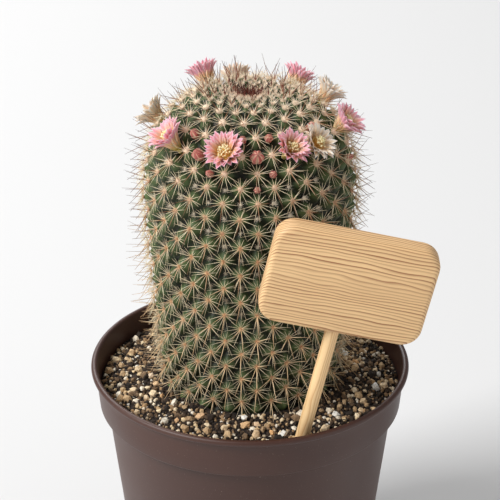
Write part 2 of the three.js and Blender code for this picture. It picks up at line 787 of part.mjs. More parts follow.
function assemble() {
  const plantInPot = new THREE.Group();
  const plant = new THREE.Group();
  plant.applyMatrix4(plantFrame);
  const frame = signFrame();
  const sign = new THREE.Group();
  sign.applyMatrix4(frame);
  sign.add(named("sign_board", boardGeometry(), COLOURS.wood, 0.6));
  sign.add(named("sign_stick", stickGeometry(), COLOURS.wood, 0.6));

  const stickHole = turned(stickOutline(GAP, 12), SIGN.sides).applyMatrix4(frame);
  plantInPot.add(named("pot", potGeometry(), COLOURS.pot, 0.45));
  plantInPot.add(named("soil", soilGeometry(stickHole), COLOURS.soil, 0.95));

  const flower = flowerGeometry();
  const bud = budGeometry();
  const signGap = signClearance(frame);
  const obstacles = [
    (point) => signGap(point.clone().applyMatrix4(plantFrame)),
    (point) => soilClearance(point.clone().applyMatrix4(plantFrame)),
  ];
  const flowerReach = FLOWER.tubeLength + FLOWER.innerLayer.tipHeight;
  const flowerRadius = (height) => {
    const opening = (height - FLOWER.tubeLength) / FLOWER.outerLayer.tipHeight;
    if (opening < 0) return mix(FLOWER.baseRadius, FLOWER.throatRadius, height / FLOWER.tubeLength);
    return mix(FLOWER.throatRadius + 0.8, FLOWER.outerLayer.tipRadius, opening);
  };
  BLOOMS.forEach((bloom, i) => {
    const name = `bloom_${String(i + 1).padStart(2, "0")}`;
    const mesh = seated(name, flower, COLOURS[bloom[3]], bloom, FLOWER.seat);
    obstacles.push(coneClearance(mesh, flowerReach, flowerRadius));
    plant.add(mesh);
  });
  BUDS.forEach((place, i) => {
    const name = `bud_${String(i + 1).padStart(2, "0")}`;
    const mesh = seated(name, bud, COLOURS.bud, place, BUD.seat);
    obstacles.push(coneClearance(mesh, BUD.outline.at(-1)[1], budRadius));
    plant.add(mesh);
  });
  plant.add(named("stem", bodyGeometry(obstacles), COLOURS.plant, 0.7));
  plantInPot.add(plant, sign);
  return plantInPot;
}

export default assemble();
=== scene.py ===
# %% [markdown]
# # A potted cactus in flower
#
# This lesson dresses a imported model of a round-bodied cactus: a spiral of green tubercles with white
# and tan spines, a ring of small pink and cream flowers round its crown, gritty soil, a brown plastic
# nursery pot, and a blank pine label on a dowel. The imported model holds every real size. Here each of
# its plain solids is replaced by a finer piece that has the same place and form.
#
# Lengths are written in millimetres, because that is how a grower or a maker would measure them, and
# the helpers turn them into metres when a mesh is made. Azimuths are degrees about the pot's axis:
# 0 faces the viewer and +90 points to the viewer's right. Colours are written as they look on a
# screen, red, green and blue from 0 to 255, and a helper turns them into the shader's linear ones.

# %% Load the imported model
import json
import math

import bmesh
import bpy
import numpy as np
from mathutils import Matrix, Vector

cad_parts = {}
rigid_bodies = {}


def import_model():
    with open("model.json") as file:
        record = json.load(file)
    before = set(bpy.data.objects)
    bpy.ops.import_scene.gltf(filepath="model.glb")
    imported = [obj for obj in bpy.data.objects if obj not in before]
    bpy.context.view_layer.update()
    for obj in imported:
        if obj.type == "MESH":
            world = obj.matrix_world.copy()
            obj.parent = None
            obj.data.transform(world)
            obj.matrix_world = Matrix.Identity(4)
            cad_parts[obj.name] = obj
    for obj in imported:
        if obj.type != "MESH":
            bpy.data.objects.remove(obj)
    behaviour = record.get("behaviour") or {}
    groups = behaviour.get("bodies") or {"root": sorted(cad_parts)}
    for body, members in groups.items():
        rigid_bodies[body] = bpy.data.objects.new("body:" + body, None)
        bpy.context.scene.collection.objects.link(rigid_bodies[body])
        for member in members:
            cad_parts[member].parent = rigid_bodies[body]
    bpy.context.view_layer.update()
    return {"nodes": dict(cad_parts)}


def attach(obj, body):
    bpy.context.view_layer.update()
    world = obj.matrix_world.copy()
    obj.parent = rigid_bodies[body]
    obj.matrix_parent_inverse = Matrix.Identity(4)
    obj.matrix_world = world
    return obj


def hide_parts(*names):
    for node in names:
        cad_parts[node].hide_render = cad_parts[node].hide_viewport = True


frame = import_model()
MM = 0.001
print("nodes in the frame:", len(frame["nodes"]))

# %% [markdown]
# ## Camera, floor and light
#
# The photograph looks down at the plant by 27 degrees with a long lens from about 0.8 m, so that the
# rim's ellipse and the crown show together, and the pot's foot lies below the picture. The floor is
# plain and pale. The light is a soft studio light: one lamp high on the left, a large weak one on the
# right, another one behind that brightens the spines along the outline, and a pale world that fills the
# shadows.

# %% The photograph's viewpoint
CAMERA_PLACE = (0.0, -694.8, 501.6)
CAMERA_PITCH = 26.78  # degrees below the horizon
CAMERA_LENS = 152.06  # on a sensor 36 wide

camera_data = bpy.data.cameras.new("camera")
camera_data.lens = CAMERA_LENS
camera_data.sensor_width = 36
camera_data.clip_start = 50 * MM
camera = bpy.data.objects.new("camera", camera_data)
camera.location = Vector(CAMERA_PLACE) * MM
camera.rotation_euler = (math.radians(90 - CAMERA_PITCH), 0, 0)
bpy.context.scene.collection.objects.link(camera)
bpy.context.scene.camera = camera
bpy.context.scene.view_settings.view_transform = "Standard"
print("camera at", CAMERA_PLACE, "mm, looking down by", CAMERA_PITCH, "degrees")

# %% Soft lamps and the world
PLANT_MIDDLE = (0, 0, 140)


def add_lamp(name, place, size, power):
    """A square area lamp that looks at the middle of the plant."""
    light = bpy.data.lights.new(name, "AREA")
    light.size = size * MM
    light.energy = power
    lamp = bpy.data.objects.new(name, light)
    lamp.location = Vector(place) * MM
    aim = Vector(PLANT_MIDDLE) * MM - lamp.location
    lamp.rotation_euler = aim.to_track_quat("-Z", "Y").to_euler()
    bpy.context.scene.collection.objects.link(lamp)


add_lamp("key_lamp", (-1600, -750, 1800), 1000, 62)
add_lamp("fill_lamp", (1300, -700, 500), 1400, 4.5)
add_lamp("back_lamp", (-500, 1300, 1200), 900, 14)

world = bpy.data.worlds.new("pale_studio")
world.use_nodes = True
background = world.node_tree.nodes["Background"].inputs
background["Color"].default_value = (1, 1, 1, 1)
background["Strength"].default_value = 0.25
bpy.context.scene.world = world
print("lamps:", [lamp.name for lamp in bpy.data.lights])

# %% [markdown]
# ## Two things that come back all the time
#
# The whole lesson turns points and faces into objects, and adds nodes with their inputs. Both could be
# written out each time, but then the shapes and colours would be lost among Blender's own calls. So each
# has a short helper. The others are defined where they are first needed.

# %% Pieces and meshes
def keep(name, mesh, material=None):
    """Links a mesh as an object at the origin, with one material."""
    piece = bpy.data.objects.new(name, mesh)
    bpy.context.scene.collection.objects.link(piece)
    if material:
        piece.data.materials.clear()
        piece.data.materials.append(material)
    return piece


def new_mesh(name, points, faces, smooth=True, **attributes):
    """A mesh from points in millimetres; each attribute is one number or vector for each point."""
    mesh = bpy.data.meshes.new(name)
    mesh.from_pydata((np.asarray(points, float) * MM).tolist(), [], [list(f) for f in faces])
    if smooth and len(faces):
        mesh.shade_smooth()
    for label, values in attributes.items():
        values = np.asarray(values, np.float32)
        kind = "FLOAT_VECTOR" if values.ndim == 2 else "FLOAT"
        field = "vector" if values.ndim == 2 else "value"
        mesh.attributes.new(label, kind, "POINT").data.foreach_set(field, values.ravel())
    mesh.update()
    return mesh


# %% Nodes and materials
def linear(colour):
    """A colour as it looks on a screen, 0 to 255 each, as the linear colour that a shader takes."""
    shares = [part / 255 for part in colour]
    return (*(s / 12.92 if s < 0.04045 else ((s + 0.055) / 1.055) ** 2.4 for s in shares), 1.0)


def fill(tree, socket, value):
    """Gives an input a link from another socket, a screen colour, or a plain value."""
    if isinstance(value, bpy.types.NodeSocket):
        tree.links.new(value, socket)
    else:
        socket.default_value = linear(value) if socket.type == "RGBA" else value


def add_node(tree, kind, inputs=None, **settings):
    """Adds a node, sets it up and fills its inputs."""
    node = tree.nodes.new(kind)
    for label, value in settings.items():
        setattr(node, label, value)
    for key, value in (inputs or {}).items():
        fill(tree, node.inputs[key], value)
    return node


def first_output(tree, kind, inputs=None, **settings):
    """Adds a node and takes the first thing it puts out."""
    return add_node(tree, kind, inputs, **settings).outputs[0]


def new_material(name, roughness):
    """A material with a Principled shader: the material, its tree and the shader's inputs."""
    material = bpy.data.materials.new(name)
    material.use_nodes = True
    shader = material.node_tree.nodes["Principled BSDF"].inputs
    shader["Roughness"].default_value = roughness
    return material, material.node_tree, shader


def paint(tree, shader, colour, normal=None, roughness=None):
    """Gives a shader its colour, and what else varies over the surface."""
    for label, value in (("Base Color", colour), ("Normal", normal), ("Roughness", roughness)):
        if value is not None:
            fill(tree, shader[label], value)


# %% The plain pale floor
FLOOR_REACH = 6000
floor_material, tree, shader = new_material("pale_floor", 0.8)
paint(tree, shader, (224, 224, 224))
floor_corners = [(-1, -1), (1, -1), (1, 1), (-1, 1)]
floor_points = [(x * FLOOR_REACH, y * FLOOR_REACH, 0) for x, y in floor_corners]
floor = keep("floor", new_mesh("floor", floor_points, [(0, 1, 2, 3)], smooth=False), floor_material)
print("floor:", 2 * FLOOR_REACH, "mm across")

# %% [markdown]
# ## The body's spiral
#
# The tubercles of this plant stand on one generative spiral, as the scales of a pine cone do: each turn
# holds 19 and a half of them, so every second turn they lie one above the other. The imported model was
# made from the same rule. Here it is again, so that the fine skin, the wool, the spines and the flowers
# land exactly where the solids are. A smooth outline is walked from the soil to the crown, and the
# spiral climbs it by a share of the spacing at each place. Even corners are tubercles and odd ones are
# the axils between them. The crown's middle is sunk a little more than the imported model's, because the
# young tubercles and the spines over them close over a small hollow there.

# %% The body's outline
RIM = 105.0  # height of the pot
BODY_OUTLINE = [
    (33, -5.2), (34.2, 8), (35.6, 25), (37.2, 45), (38.7, 64), (38.9, 74), (37.9, 82),
    (35.3, 90), (31.2, 96.3), (25.8, 101.5), (19.5, 105.4), (13, 107), (5, 106), (0, 105),
]  # fmt: skip
ROOT_RADIUS = BODY_OUTLINE[0][0]
CROWN_LEVEL = BODY_OUTLINE[-1][1]

outline_knots = np.array(BODY_OUTLINE) + (0, RIM)


def outline_at_share(share):
    """Points of a smooth curve through the knots, at shares of their number."""
    count = len(outline_knots)
    walk = np.clip(share, 0, 1) * (count - 1)
    knot = np.floor(walk).astype(int)
    part = (walk - knot)[:, None]
    before, here, after, later = (
        outline_knots[np.clip(knot + step, 0, count - 1)] for step in (-1, 0, 1, 2)
    )
    pull_here, pull_after = (after - before) / 2, (later - here) / 2
    return (
        (2 * here - 2 * after + pull_here + pull_after) * part**3
        + (-3 * here + 3 * after - 2 * pull_here - pull_after) * part**2
        + pull_here * part
        + here
    )


print("knots in the body's outline:", len(outline_knots))

# %% Walking along the outline
SHOULDER = 85.0
DIMPLE_DEPTH = 1.5  # the crown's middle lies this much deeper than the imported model's
DIMPLE_RADIUS = 8.0
OUTLINE_SAMPLES = 1201
NEARBY = 1e-4  # a small share of the outline, to take its direction

fine_shares = np.linspace(0, 1, OUTLINE_SAMPLES)
steps_along = np.hypot(*np.diff(outline_at_share(fine_shares), axis=0).T)
fine_distance = np.concatenate([[0], np.cumsum(steps_along)])


def outline_at(distance):
    """Radius, height and the outward direction (out, rise) at distances along the outline."""
    distance = np.atleast_1d(np.asarray(distance, float))
    share = np.interp(distance, fine_distance, fine_shares)
    place = outline_at_share(share)
    ahead = outline_at_share(share + NEARBY) - outline_at_share(share - NEARBY)
    along = ahead / np.linalg.norm(ahead, axis=1)[:, None]
    below = np.minimum(distance, 0)[:, None]  # straight down, below the outline's foot
    place = place + below * along
    near_middle = np.clip(1 - place[:, 0] / DIMPLE_RADIUS, 0, 1) * (place[:, 1] > RIM + SHOULDER)
    place[:, 1] -= DIMPLE_DEPTH * near_middle**2 * (3 - 2 * near_middle)
    return place[:, 0], place[:, 1], along[:, 1], -along[:, 0]


print("outline:", round(fine_distance[-1], 1), "mm from the soil to the crown's middle")

# %% The spiral
CORNERS = 39  # in one turn
START_AZIMUTH = 188.7
START_DISTANCE = 2.1
START_RISE = 0.45
ROW_STEP_LOW = 0.472  # rise of one turn as a share of the spacing, at the soil
ROW_STEP_HIGH = 0.436  # the same at the shoulder
ROW_STEP_CROWN = 0.7  # the same on the crown
CROWN_FROM, CROWN_TO = 88.0, 94.0
CROWN_END = 3.6  # radius where the spiral stops
BURIED_CORNERS = 60  # the fine skin goes on below the soil


def mix(low, high, share):
    """A number between two others, by a share that stops at both ends."""
    return low + (high - low) * np.clip(share, 0, 1)


def pitch_at(radius):
    """Distance between neighbouring tubercles of one turn."""
    return 4 * math.pi * radius / CORNERS


def spiral_distances():
    """Distance along the outline of each corner, from the soil to the middle of the crown."""
    distances, distance = [], START_DISTANCE
    while True:
        radius, height = (value[0] for value in outline_at(distance)[:2])
        if radius < CROWN_END:
            return np.array(distances)
        share = mix(START_RISE, 1, len(distances) / CORNERS)
        distances.append(distance)
        level = height - RIM
        side_step = mix(ROW_STEP_LOW, ROW_STEP_HIGH, level / SHOULDER)
        row_step = mix(side_step, ROW_STEP_CROWN, (level - CROWN_FROM) / (CROWN_TO - CROWN_FROM))
        distance += row_step * pitch_at(radius) * share / CORNERS


spiral = spiral_distances()
buried_rise = ROW_STEP_LOW * pitch_at(ROOT_RADIUS) / CORNERS


def distance_of(corner):
    """Distance along the outline of any place on the spiral, also below its start."""
    corner = np.asarray(corner, float)
    inside = np.interp(corner, np.arange(len(spiral)), spiral)
    return inside + np.minimum(corner, 0) * buried_rise


def azimuth_of(corner):
    return math.radians(START_AZIMUTH) + corner * 2 * math.pi / CORNERS


print("corners on the spiral:", len(spiral))

# %% Leaning back
LEAN_BACK = 3.0  # degrees
SOIL_BESIDE_PLANT = -4.7  # below the rim
plant_frame = (
    Matrix.Translation((0, 0, RIM + SOIL_BESIDE_PLANT))
    @ Matrix.Rotation(math.radians(-LEAN_BACK), 4, "X")
    @ Matrix.Translation((0, 0, -RIM - SOIL_BESIDE_PLANT))
)


def lean(points, is_direction=False):
    """Turns points or directions of the upright plant with the plant, which leans back."""
    turn = np.array(plant_frame)
    return points @ turn[:3, :3].T + (0 if is_direction else turn[:3, 3])


print("the crown's middle leans to", lean(np.array([0, 0, RIM + CROWN_LEVEL])).round(1))

# %% [markdown]
# ## The green skin
#
# A tubercle is a blunt cone, a little flattened where it presses against its neighbours, and it points
# slightly upwards. One could model one cone and instance it, but then the skin would be hundreds of
# separate shells. A single skin is truer: every point of a fine grid asks how far it is from the nearest
# tubercle on the spiral, and rises by that. The grid keeps a number for how high on its tubercle each
# point is, and the material paints light and shade with it: painted shade darkens the valleys, and the
# flanks are painted lighter and bluer, as if lit.

# %% Relief of the skin
TUBERCLE_HEIGHT = 3.6
TUBERCLE_SHARE = 0.3  # of the spacing, where that gives a lower tubercle
TIP_SKEW = 0.22  # how far the tubercles' tips are pushed up the body, as a share of their height
CONE_POWER = 1.12
TIP_ROUNDING = 0.06  # as a share of the way from a tubercle's tip to its axil


def around(azimuth, radius, height):
    """Points about the axis, from azimuths in radians."""
    azimuth, radius, height = np.broadcast_arrays(azimuth, radius, height)
    return np.stack([radius * np.sin(azimuth), -radius * np.cos(azimuth), height], axis=-1)


def tubercle_depth(radius):
    return np.minimum(TUBERCLE_HEIGHT, TUBERCLE_SHARE * pitch_at(radius))


def tubercle_rise(corner_across, corner_along):
    """0 in the axils to 1 at the tubercles' tips, at a place counted in corners."""
    first, second = (corner_across + corner_along) / 2, (corner_across - corner_along) / 2
    first, second = first - np.round(first), second - np.round(second)
    across, along = np.abs(first + second), np.abs(first - second)
    spread = 0.5 * (across + along) + 0.5 * np.hypot(across, along)
    whole = math.hypot(1, TIP_ROUNDING) - TIP_ROUNDING
    return 1 - ((np.hypot(spread, TIP_ROUNDING) - TIP_ROUNDING) / whole) ** CONE_POWER


def corner_frames(corners, raised=1.0):
    """Places on the spiral: point, outward and upward direction, spacing, azimuth, radius and height."""
    azimuth = azimuth_of(np.asarray(corners))
    radius, height, out, rise = outline_at(distance_of(corners))
    depth = tubercle_depth(radius)
    outward = around(azimuth, out, rise)
    upward = around(azimuth, -rise, out)
    place = around(azimuth, radius, height)
    place = place + outward * ((raised - 1) * depth)[:, None]
    place = place + upward * (raised * TIP_SKEW * depth)[:, None]
    return {
        "place": place, "outward": outward, "upward": upward, "pitch": pitch_at(radius),
        "height": height - RIM, "azimuth": azimuth, "radius": radius,
    }  # fmt: skip


# %% The skin's grid
POINTS_PER_CORNER = 7
VALLEY_DEEPER = 1.3  # the fine skin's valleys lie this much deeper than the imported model's, as a factor
RIPPLE = 0.12  # a grown body is never quite even
CROWN_SINK = 0.6  # the grid's last point lies this much lower
POLE_RISE = 0.3  # how high on a tubercle the grid's two end points count


def grid_faces(rows, columns, closed=True):
    """Quads of a grid of points, row by row; a closed one joins its last column to its first."""
    faces = []
    for row in range(rows - 1):
        for column in range(columns if closed else columns - 1):
            beside = (column + 1) % columns
            low, high = row * columns, (row + 1) * columns
            faces.append((low + column, low + beside, high + beside, high + column))
    return faces


def capped_grid(points, columns, foot, top):
    """Points and faces of a closed grid, with a fan of triangles to the axis at both its end heights."""
    points = np.reshape(points, (-1, 3))
    faces = grid_faces(len(points) // columns, columns)
    first, last, last_row = len(points), len(points) + 1, len(points) - columns
    for column in range(columns):
        beside = (column + 1) % columns
        faces.append((first, beside, column))
        faces.append((last, last_row + column, last_row + beside))
    return np.vstack([points, (0, 0, foot), (0, 0, top)]), faces


def body_ripple(azimuth, height):
    """Crossed waves of five and three swellings round the body."""
    return RIPPLE * np.sin(azimuth * 5 + height * 0.11) * np.sin(height * 0.23 + azimuth * 3)


def skin_mesh():
    columns = CORNERS * POINTS_PER_CORNER
    rows = np.arange(-BURIED_CORNERS, len(spiral) - 1, CORNERS / POINTS_PER_CORNER)
    column_turn = np.arange(columns) / POINTS_PER_CORNER
    azimuth = azimuth_of(column_turn)
    radius, height, out, rise = (value[:, None] for value in outline_at(distance_of(rows)))
    depth = tubercle_depth(radius)
    along = (rows[:, None] - column_turn[None, :]) / CORNERS
    height_share = tubercle_rise(column_turn[None, :] + 0 * along, along)
    relief = VALLEY_DEEPER * depth * (height_share - 1) + body_ripple(azimuth, height)
    skew = TIP_SKEW * depth * height_share
    points = around(azimuth, radius + relief * out - skew * rise, height + relief * rise + skew * out)
    points, faces = capped_grid(points, columns, height[0, 0], height[-1, 0] - CROWN_SINK)
    shares = np.append(height_share.ravel(), [POLE_RISE, POLE_RISE])
    levels = np.append(np.broadcast_to(height - RIM, along.shape).ravel(), [0, CROWN_LEVEL])
    return new_mesh("cactus_skin", lean(points), faces, rise=shares, level=levels)


# %% Numbers, patterns and colours in a node tree
def calculate(tree, operation, *values):
    """A Math node's result."""
    return first_output(tree, "ShaderNodeMath", dict(enumerate(values)), operation=operation)


def times(tree, *numbers):
    """The product of two numbers."""
    return calculate(tree, "MULTIPLY", *numbers)


def noise(tree, vector, scale, detail=3.0, roughness=0.55):
    """Noise from 0 to 1 at a point."""
    inputs = {"Vector": vector, "Scale": scale, "Detail": detail, "Roughness": roughness}
    return add_node(tree, "ShaderNodeTexNoise", inputs).outputs["Fac"]


def stretch(tree, value, low, high, new_low=0.0, new_high=1.0):
    """Maps low..high to new_low..new_high and stops at both ends."""
    inputs = {"Value": value, "From Min": low, "From Max": high, "To Min": new_low, "To Max": new_high}
    return add_node(tree, "ShaderNodeMapRange", inputs).outputs["Result"]


def blend_colour(tree, share, first, second):
    """Mixes two colours by a share."""
    return add_node(tree, "ShaderNodeMix", {0: share, 6: first, 7: second}, data_type="RGBA").outputs[2]


def attribute(tree, name, output="Fac"):
    """A number or vector that the mesh holds at each point, as a material reads it."""
    return add_node(tree, "ShaderNodeAttribute", attribute_name=name).outputs[output]


def object_place(tree):
    """The place on the piece, in metres."""
    return add_node(tree, "ShaderNodeTexCoord").outputs["Object"]


def bump(tree, height, strength, distance):
    """A bump normal from a height; the distance is in millimetres."""
    inputs = {"Height": height, "Strength": strength, "Distance": distance * MM}
    return first_output(tree, "ShaderNodeBump", inputs)


# %% Waxy green
def skin_material():
    material, tree, shader = new_material("waxy_green_skin", 0.5)
    shader["Specular IOR Level"].default_value = 0.3
    place = object_place(tree)
    broad = noise(tree, place, 60, 3)
    fine = noise(tree, place, 900, 4)
    green = blend_colour(tree, stretch(tree, broad, 0.35, 0.68), (38, 51, 28), (60, 76, 40))
    aged = blend_colour(tree, stretch(tree, attribute(tree, "level"), -6, 30), (45, 50, 28), green)
    rise = attribute(tree, "rise")
    # painted light: the tubercles' flanks and tips are made lighter, as if lit
    lit = blend_colour(tree, stretch(tree, rise, 0.4, 1.0), aged, (98, 116, 72))
    # painted shade: the valleys between the tubercles are darkened, where shade falls
    painted_valley_shade = blend_colour(tree, stretch(tree, rise, 0.08, 0.6), (14, 11, 5), lit)
    speckle = times(tree, stretch(tree, fine, 0.62, 0.72), 0.35)
    flecked = blend_colour(tree, speckle, painted_valley_shade, (142, 160, 122))
    paint(tree, shader, flecked, bump(tree, fine, 0.35, 0.12), stretch(tree, fine, 0.3, 0.7, 0.45, 0.65))
    return material


skin = keep("cactus_skin", skin_mesh(), skin_material())
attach(skin, "root")
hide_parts("stem")
print("skin faces:", len(skin.data.polygons))

# %% [markdown]
# ## Spines, areoles and wool
#
# Every tubercle ends in an areole, a small felted cushion. From it grow fifteen thin pale radial spines
# that lie over the skin like a star, one stronger central that points down, and two that point up and
# outwards. Low on the body the centrals are the colour of straw. Near the crown they are reddish brown
# and stand up, and over its hollow they crowd into a dark tuft. All of them, and the wool too, are the
# same thing at different sizes: a spray of needles on a point. So one Geometry Nodes tree makes them
# all: it copies each areole point as often as there are needles, turns each copy by its number, and
# puts a slim four-sided needle there. A tree is run once and its result kept as a plain mesh, so that
# the finished model holds no live modifier.

# %% Vectors in a node tree
def plus(tree, *numbers):
    """The sum of two numbers."""
    return calculate(tree, "ADD", *numbers)


def vector_math(tree, operation, first, second):
    """The vector that a Vector Math node makes of two."""
    return first_output(tree, "ShaderNodeVectorMath", {0: first, 1: second}, operation=operation)


def scale_by(tree, vector, number):
    """A vector or a colour times a number."""
    return first_output(tree, "ShaderNodeVectorMath", {0: vector, "Scale": number}, operation="SCALE")


def combine(tree, **parts):
    """A vector from numbers x, y and z."""
    return first_output(tree, "ShaderNodeCombineXYZ", {axis.upper(): part for axis, part in parts.items()})


# %% Parts of a Geometry Nodes tree
def new_group(name, kind, inputs, outputs):
    """A node group with named sockets; each input is a number to start with, or a type of socket."""
    tree = bpy.data.node_groups.new(name, kind)
    for label, given in inputs.items():
        socket_type = {int: "NodeSocketInt", float: "NodeSocketFloat"}.get(type(given), given)
        socket = tree.interface.new_socket(label, in_out="INPUT", socket_type=socket_type)
        if given != socket_type:
            socket.default_value = given
    for label, socket_type in outputs.items():
        tree.interface.new_socket(label, in_out="OUTPUT", socket_type=socket_type)
    return tree, tree.nodes.new("NodeGroupInput").outputs, tree.nodes.new("NodeGroupOutput").inputs


def new_growth(name, inputs):
    """A tree that turns a mesh into a painted one; the inputs come between the mesh and its material."""
    inputs = {"Geometry": "NodeSocketGeometry", **inputs, "Material": "NodeSocketMaterial"}
    return new_group(name, "GeometryNodeTree", inputs, {"Geometry": "NodeSocketGeometry"})


def point_value(tree, name, kind="FLOAT"):
    """A number or vector that the mesh holds at each point."""
    return first_output(tree, "GeometryNodeInputNamedAttribute", {"Name": name}, data_type=kind)


def store(tree, geometry, name, value):
    """The geometry with one more number at each point, for its material."""
    inputs = {"Geometry": geometry, "Name": name, "Value": value}
    return first_output(tree, "GeometryNodeStoreNamedAttribute", inputs, data_type="FLOAT", domain="POINT")


def scattered(tree, seed, draw_number, spread=1.0, middle=0.0):
    """A random number for each point, as far as the spread to both sides of the middle."""
    inputs = {2: -1.0, 3: 1.0, "Seed": plus(tree, seed, draw_number)}
    share = add_node(tree, "FunctionNodeRandomValue", inputs, data_type="FLOAT").outputs[1]
    return calculate(tree, "MULTIPLY_ADD", share, spread, middle)


def along_vector(tree, vector):
    """The rotation that lays an instance's Z along a vector."""
    return first_output(tree, "FunctionNodeAlignRotationToVector", {"Vector": vector}, axis="Z")


def set_out(tree, result, material, points, instance, rotation, scale, pick=False):
    """Ends a tree: an instance on every point, made real and painted."""
    inputs = {"Points": points, "Instance": instance, "Rotation": rotation, "Scale": scale}
    inputs["Pick Instance"] = pick
    instances = first_output(tree, "GeometryNodeInstanceOnPoints", inputs)
    solid = first_output(tree, "GeometryNodeRealizeInstances", {0: instances})
    painted = first_output(tree, "GeometryNodeSetMaterial", {"Geometry": solid, "Material": material})
    tree.links.new(painted, result["Geometry"])
    print(tree.name, "has", len(tree.nodes), "nodes")


# %% Running a tree
def evaluated_mesh(piece):
    """What an object's modifiers make, as a plain mesh."""
    graph = bpy.context.evaluated_depsgraph_get()
    made = piece.evaluated_get(graph)
    return bpy.data.meshes.new_from_object(made, preserve_all_data_layers=True, depsgraph=graph)


def grow(name, source, tree, **values):
    """Runs a Geometry Nodes tree on a mesh and keeps what it makes as a plain mesh object."""
    carrier = keep(name + "_carrier", source)
    modifier = carrier.modifiers.new("nodes", "NODES")
    modifier.node_group = tree
    sockets = {s.name: s.identifier for s in tree.interface.items_tree if s.in_out == "INPUT"}
    for label, value in values.items():
        modifier[sockets[label.replace("_", " ").capitalize()]] = value
    mesh = evaluated_mesh(carrier)
    carrier.modifiers.clear()
    bpy.data.objects.remove(carrier)
    mesh.name = name
    return keep(name, mesh)


# %% The spray tree
spray_inputs = {
    "Count": 16,
    "First turn": 0.0,
    "Turn spread": 0.2,
    "Tilt": 1.2,
    "Tilt spread": 0.1,
    "Young tilt": 0.8,
    "Length": 0.006,
    "Length spread": 0.15,
    "Upper share": 1.0,
    "Thickness": 0.0001,
    "Root offset": 0.0,
    "Seed": 1,
}


def between(tree, first, second, angle):
    """The direction that an angle turns the first of two crossed directions to, towards the second."""
    along_first = scale_by(tree, first, calculate(tree, "COSINE", angle))
    along_second = scale_by(tree, second, calculate(tree, "SINE", angle))
    return vector_math(tree, "ADD", along_first, along_second)


def needle_shape(tree):
    """A slim four-sided needle, one unit long, that keeps how far along it each point is."""
    sizes = {"Vertices": 4, "Radius Top": 0.3, "Radius Bottom": 1.0, "Depth": 1.0}
    cone = first_output(tree, "GeometryNodeMeshCone", sizes, fill_type="NGON")
    parts = add_node(tree, "ShaderNodeSeparateXYZ", {0: first_output(tree, "GeometryNodeInputPosition")})
    return store(tree, cone, "along", parts.outputs["Z"])


def make_spray_tree():
    tree, given, result = new_growth("needle_spray", spray_inputs)
    seed = given["Seed"]
    inputs = {"Geometry": given["Geometry"], "Amount": given["Count"]}
    copies = add_node(tree, "GeometryNodeDuplicateElements", inputs, domain="POINT").outputs

    # round the areole
    outward, upward = (point_value(tree, name, "FLOAT_VECTOR") for name in ("outward", "upward"))
    sideways = vector_math(tree, "CROSS_PRODUCT", upward, outward)
    share = calculate(tree, "DIVIDE", copies["Duplicate Index"], given["Count"])
    turn = calculate(tree, "MULTIPLY_ADD", share, 2 * math.pi, given["First turn"])
    turn = plus(tree, turn, scattered(tree, seed, 11, given["Turn spread"]))
    turn = plus(tree, turn, point_value(tree, "phase"))
    spoke = between(tree, sideways, upward, turn)

    # away from it; young needles stand more upright
    youth = point_value(tree, "youth")
    grown = times(tree, given["Tilt"], calculate(tree, "SUBTRACT", 1.0, youth))
    tilt = plus(tree, grown, times(tree, given["Young tilt"], youth))
    tilt = plus(tree, tilt, scattered(tree, seed, 23, given["Tilt spread"]))
    rotation = along_vector(tree, between(tree, outward, spoke, tilt))

    # each with its own length; those that point up the body are shorter
    length = times(tree, given["Length"], scattered(tree, seed, 37, given["Length spread"], 1.0))
    length = times(tree, length, point_value(tree, "size"))
    facing_up = calculate(tree, "MAXIMUM", calculate(tree, "SINE", turn), 0.0)
    shortening = calculate(tree, "SUBTRACT", given["Upper share"], 1.0)
    length = times(tree, length, calculate(tree, "MULTIPLY_ADD", facing_up, shortening, 1.0))
    scale = combine(tree, x=given["Thickness"], y=given["Thickness"], z=length)

    offset = scale_by(tree, spoke, given["Root offset"])
    inputs = {"Geometry": copies["Geometry"], "Offset": offset}
    roots = first_output(tree, "GeometryNodeSetPosition", inputs)
    tinted = store(tree, roots, "tint", scattered(tree, seed, 51))
    set_out(tree, result, given["Material"], tinted, needle_shape(tree), rotation, scale)
    return tree


spray_tree = make_spray_tree()


def spray(name, points, length, thickness, root_offset=0.0, **values):
    """Needles on a cloud of points; the lengths are in millimetres."""
    return grow(
        name, points, spray_tree, length=length * MM, thickness=thickness * MM,
        root_offset=root_offset * MM, **values,
    )


# %% [markdown]
# The areole points carry what the tree asks for. The size falls towards the crown's centre, where the
# tubercles are small and only every second one bears spines, and youth rises from 0 at the shoulder to
# 1 in the middle of the crown. The label's board leans close to the plant, so its frame is worked out
# first, and the spines behind it are only as long as there is room.

# %% Where the label stands
SIGN_FOOT = (18.2, -46.0)
SIGN_FOOT_HEIGHT = -8.4  # below the rim
SIGN_RIGHT, SIGN_FORWARD, SIGN_TURN = 12.7, 2.0, 1.1  # degrees that it leans and turns
BOARD = {
    "bottom": 49.2, "shift": 0.9, "width": 58.2, "height": 38.2, "thickness": 9.0, "corner": 7.0, "edge": 2.0,
}  # fmt: skip


def make_sign_frame():
    """The label's own frame: origin at the soil, Z up the stick, -Y out of the board's face."""
    across = math.sin(math.radians(SIGN_RIGHT))
    towards = -math.sin(math.radians(SIGN_FORWARD))
    up = Vector((across, towards, math.sqrt(1 - across**2 - towards**2)))
    back = (Vector((0, 1, 0)) - up * up.y).normalized()
    right = back.cross(up)
    turn = Matrix.Rotation(math.radians(SIGN_TURN), 3, up)
    axes = Matrix((turn @ right, turn @ back, up)).transposed().to_4x4()
    axes.translation = (*SIGN_FOOT, RIM + SIGN_FOOT_HEIGHT)
    return axes


sign_frame = make_sign_frame()


def board_distance(points):
    """How far points of the leaning plant are from the label's board."""
    inverse = np.array(sign_frame.inverted())
    local = lean(points) @ inverse[:3, :3].T + inverse[:3, 3]
    local = local - (BOARD["shift"], 0, BOARD["bottom"] + BOARD["height"] / 2)
    half = np.array([BOARD["width"], BOARD["thickness"], BOARD["height"]]) / 2
    return np.linalg.norm(np.maximum(np.abs(local) - half, 0), axis=1)


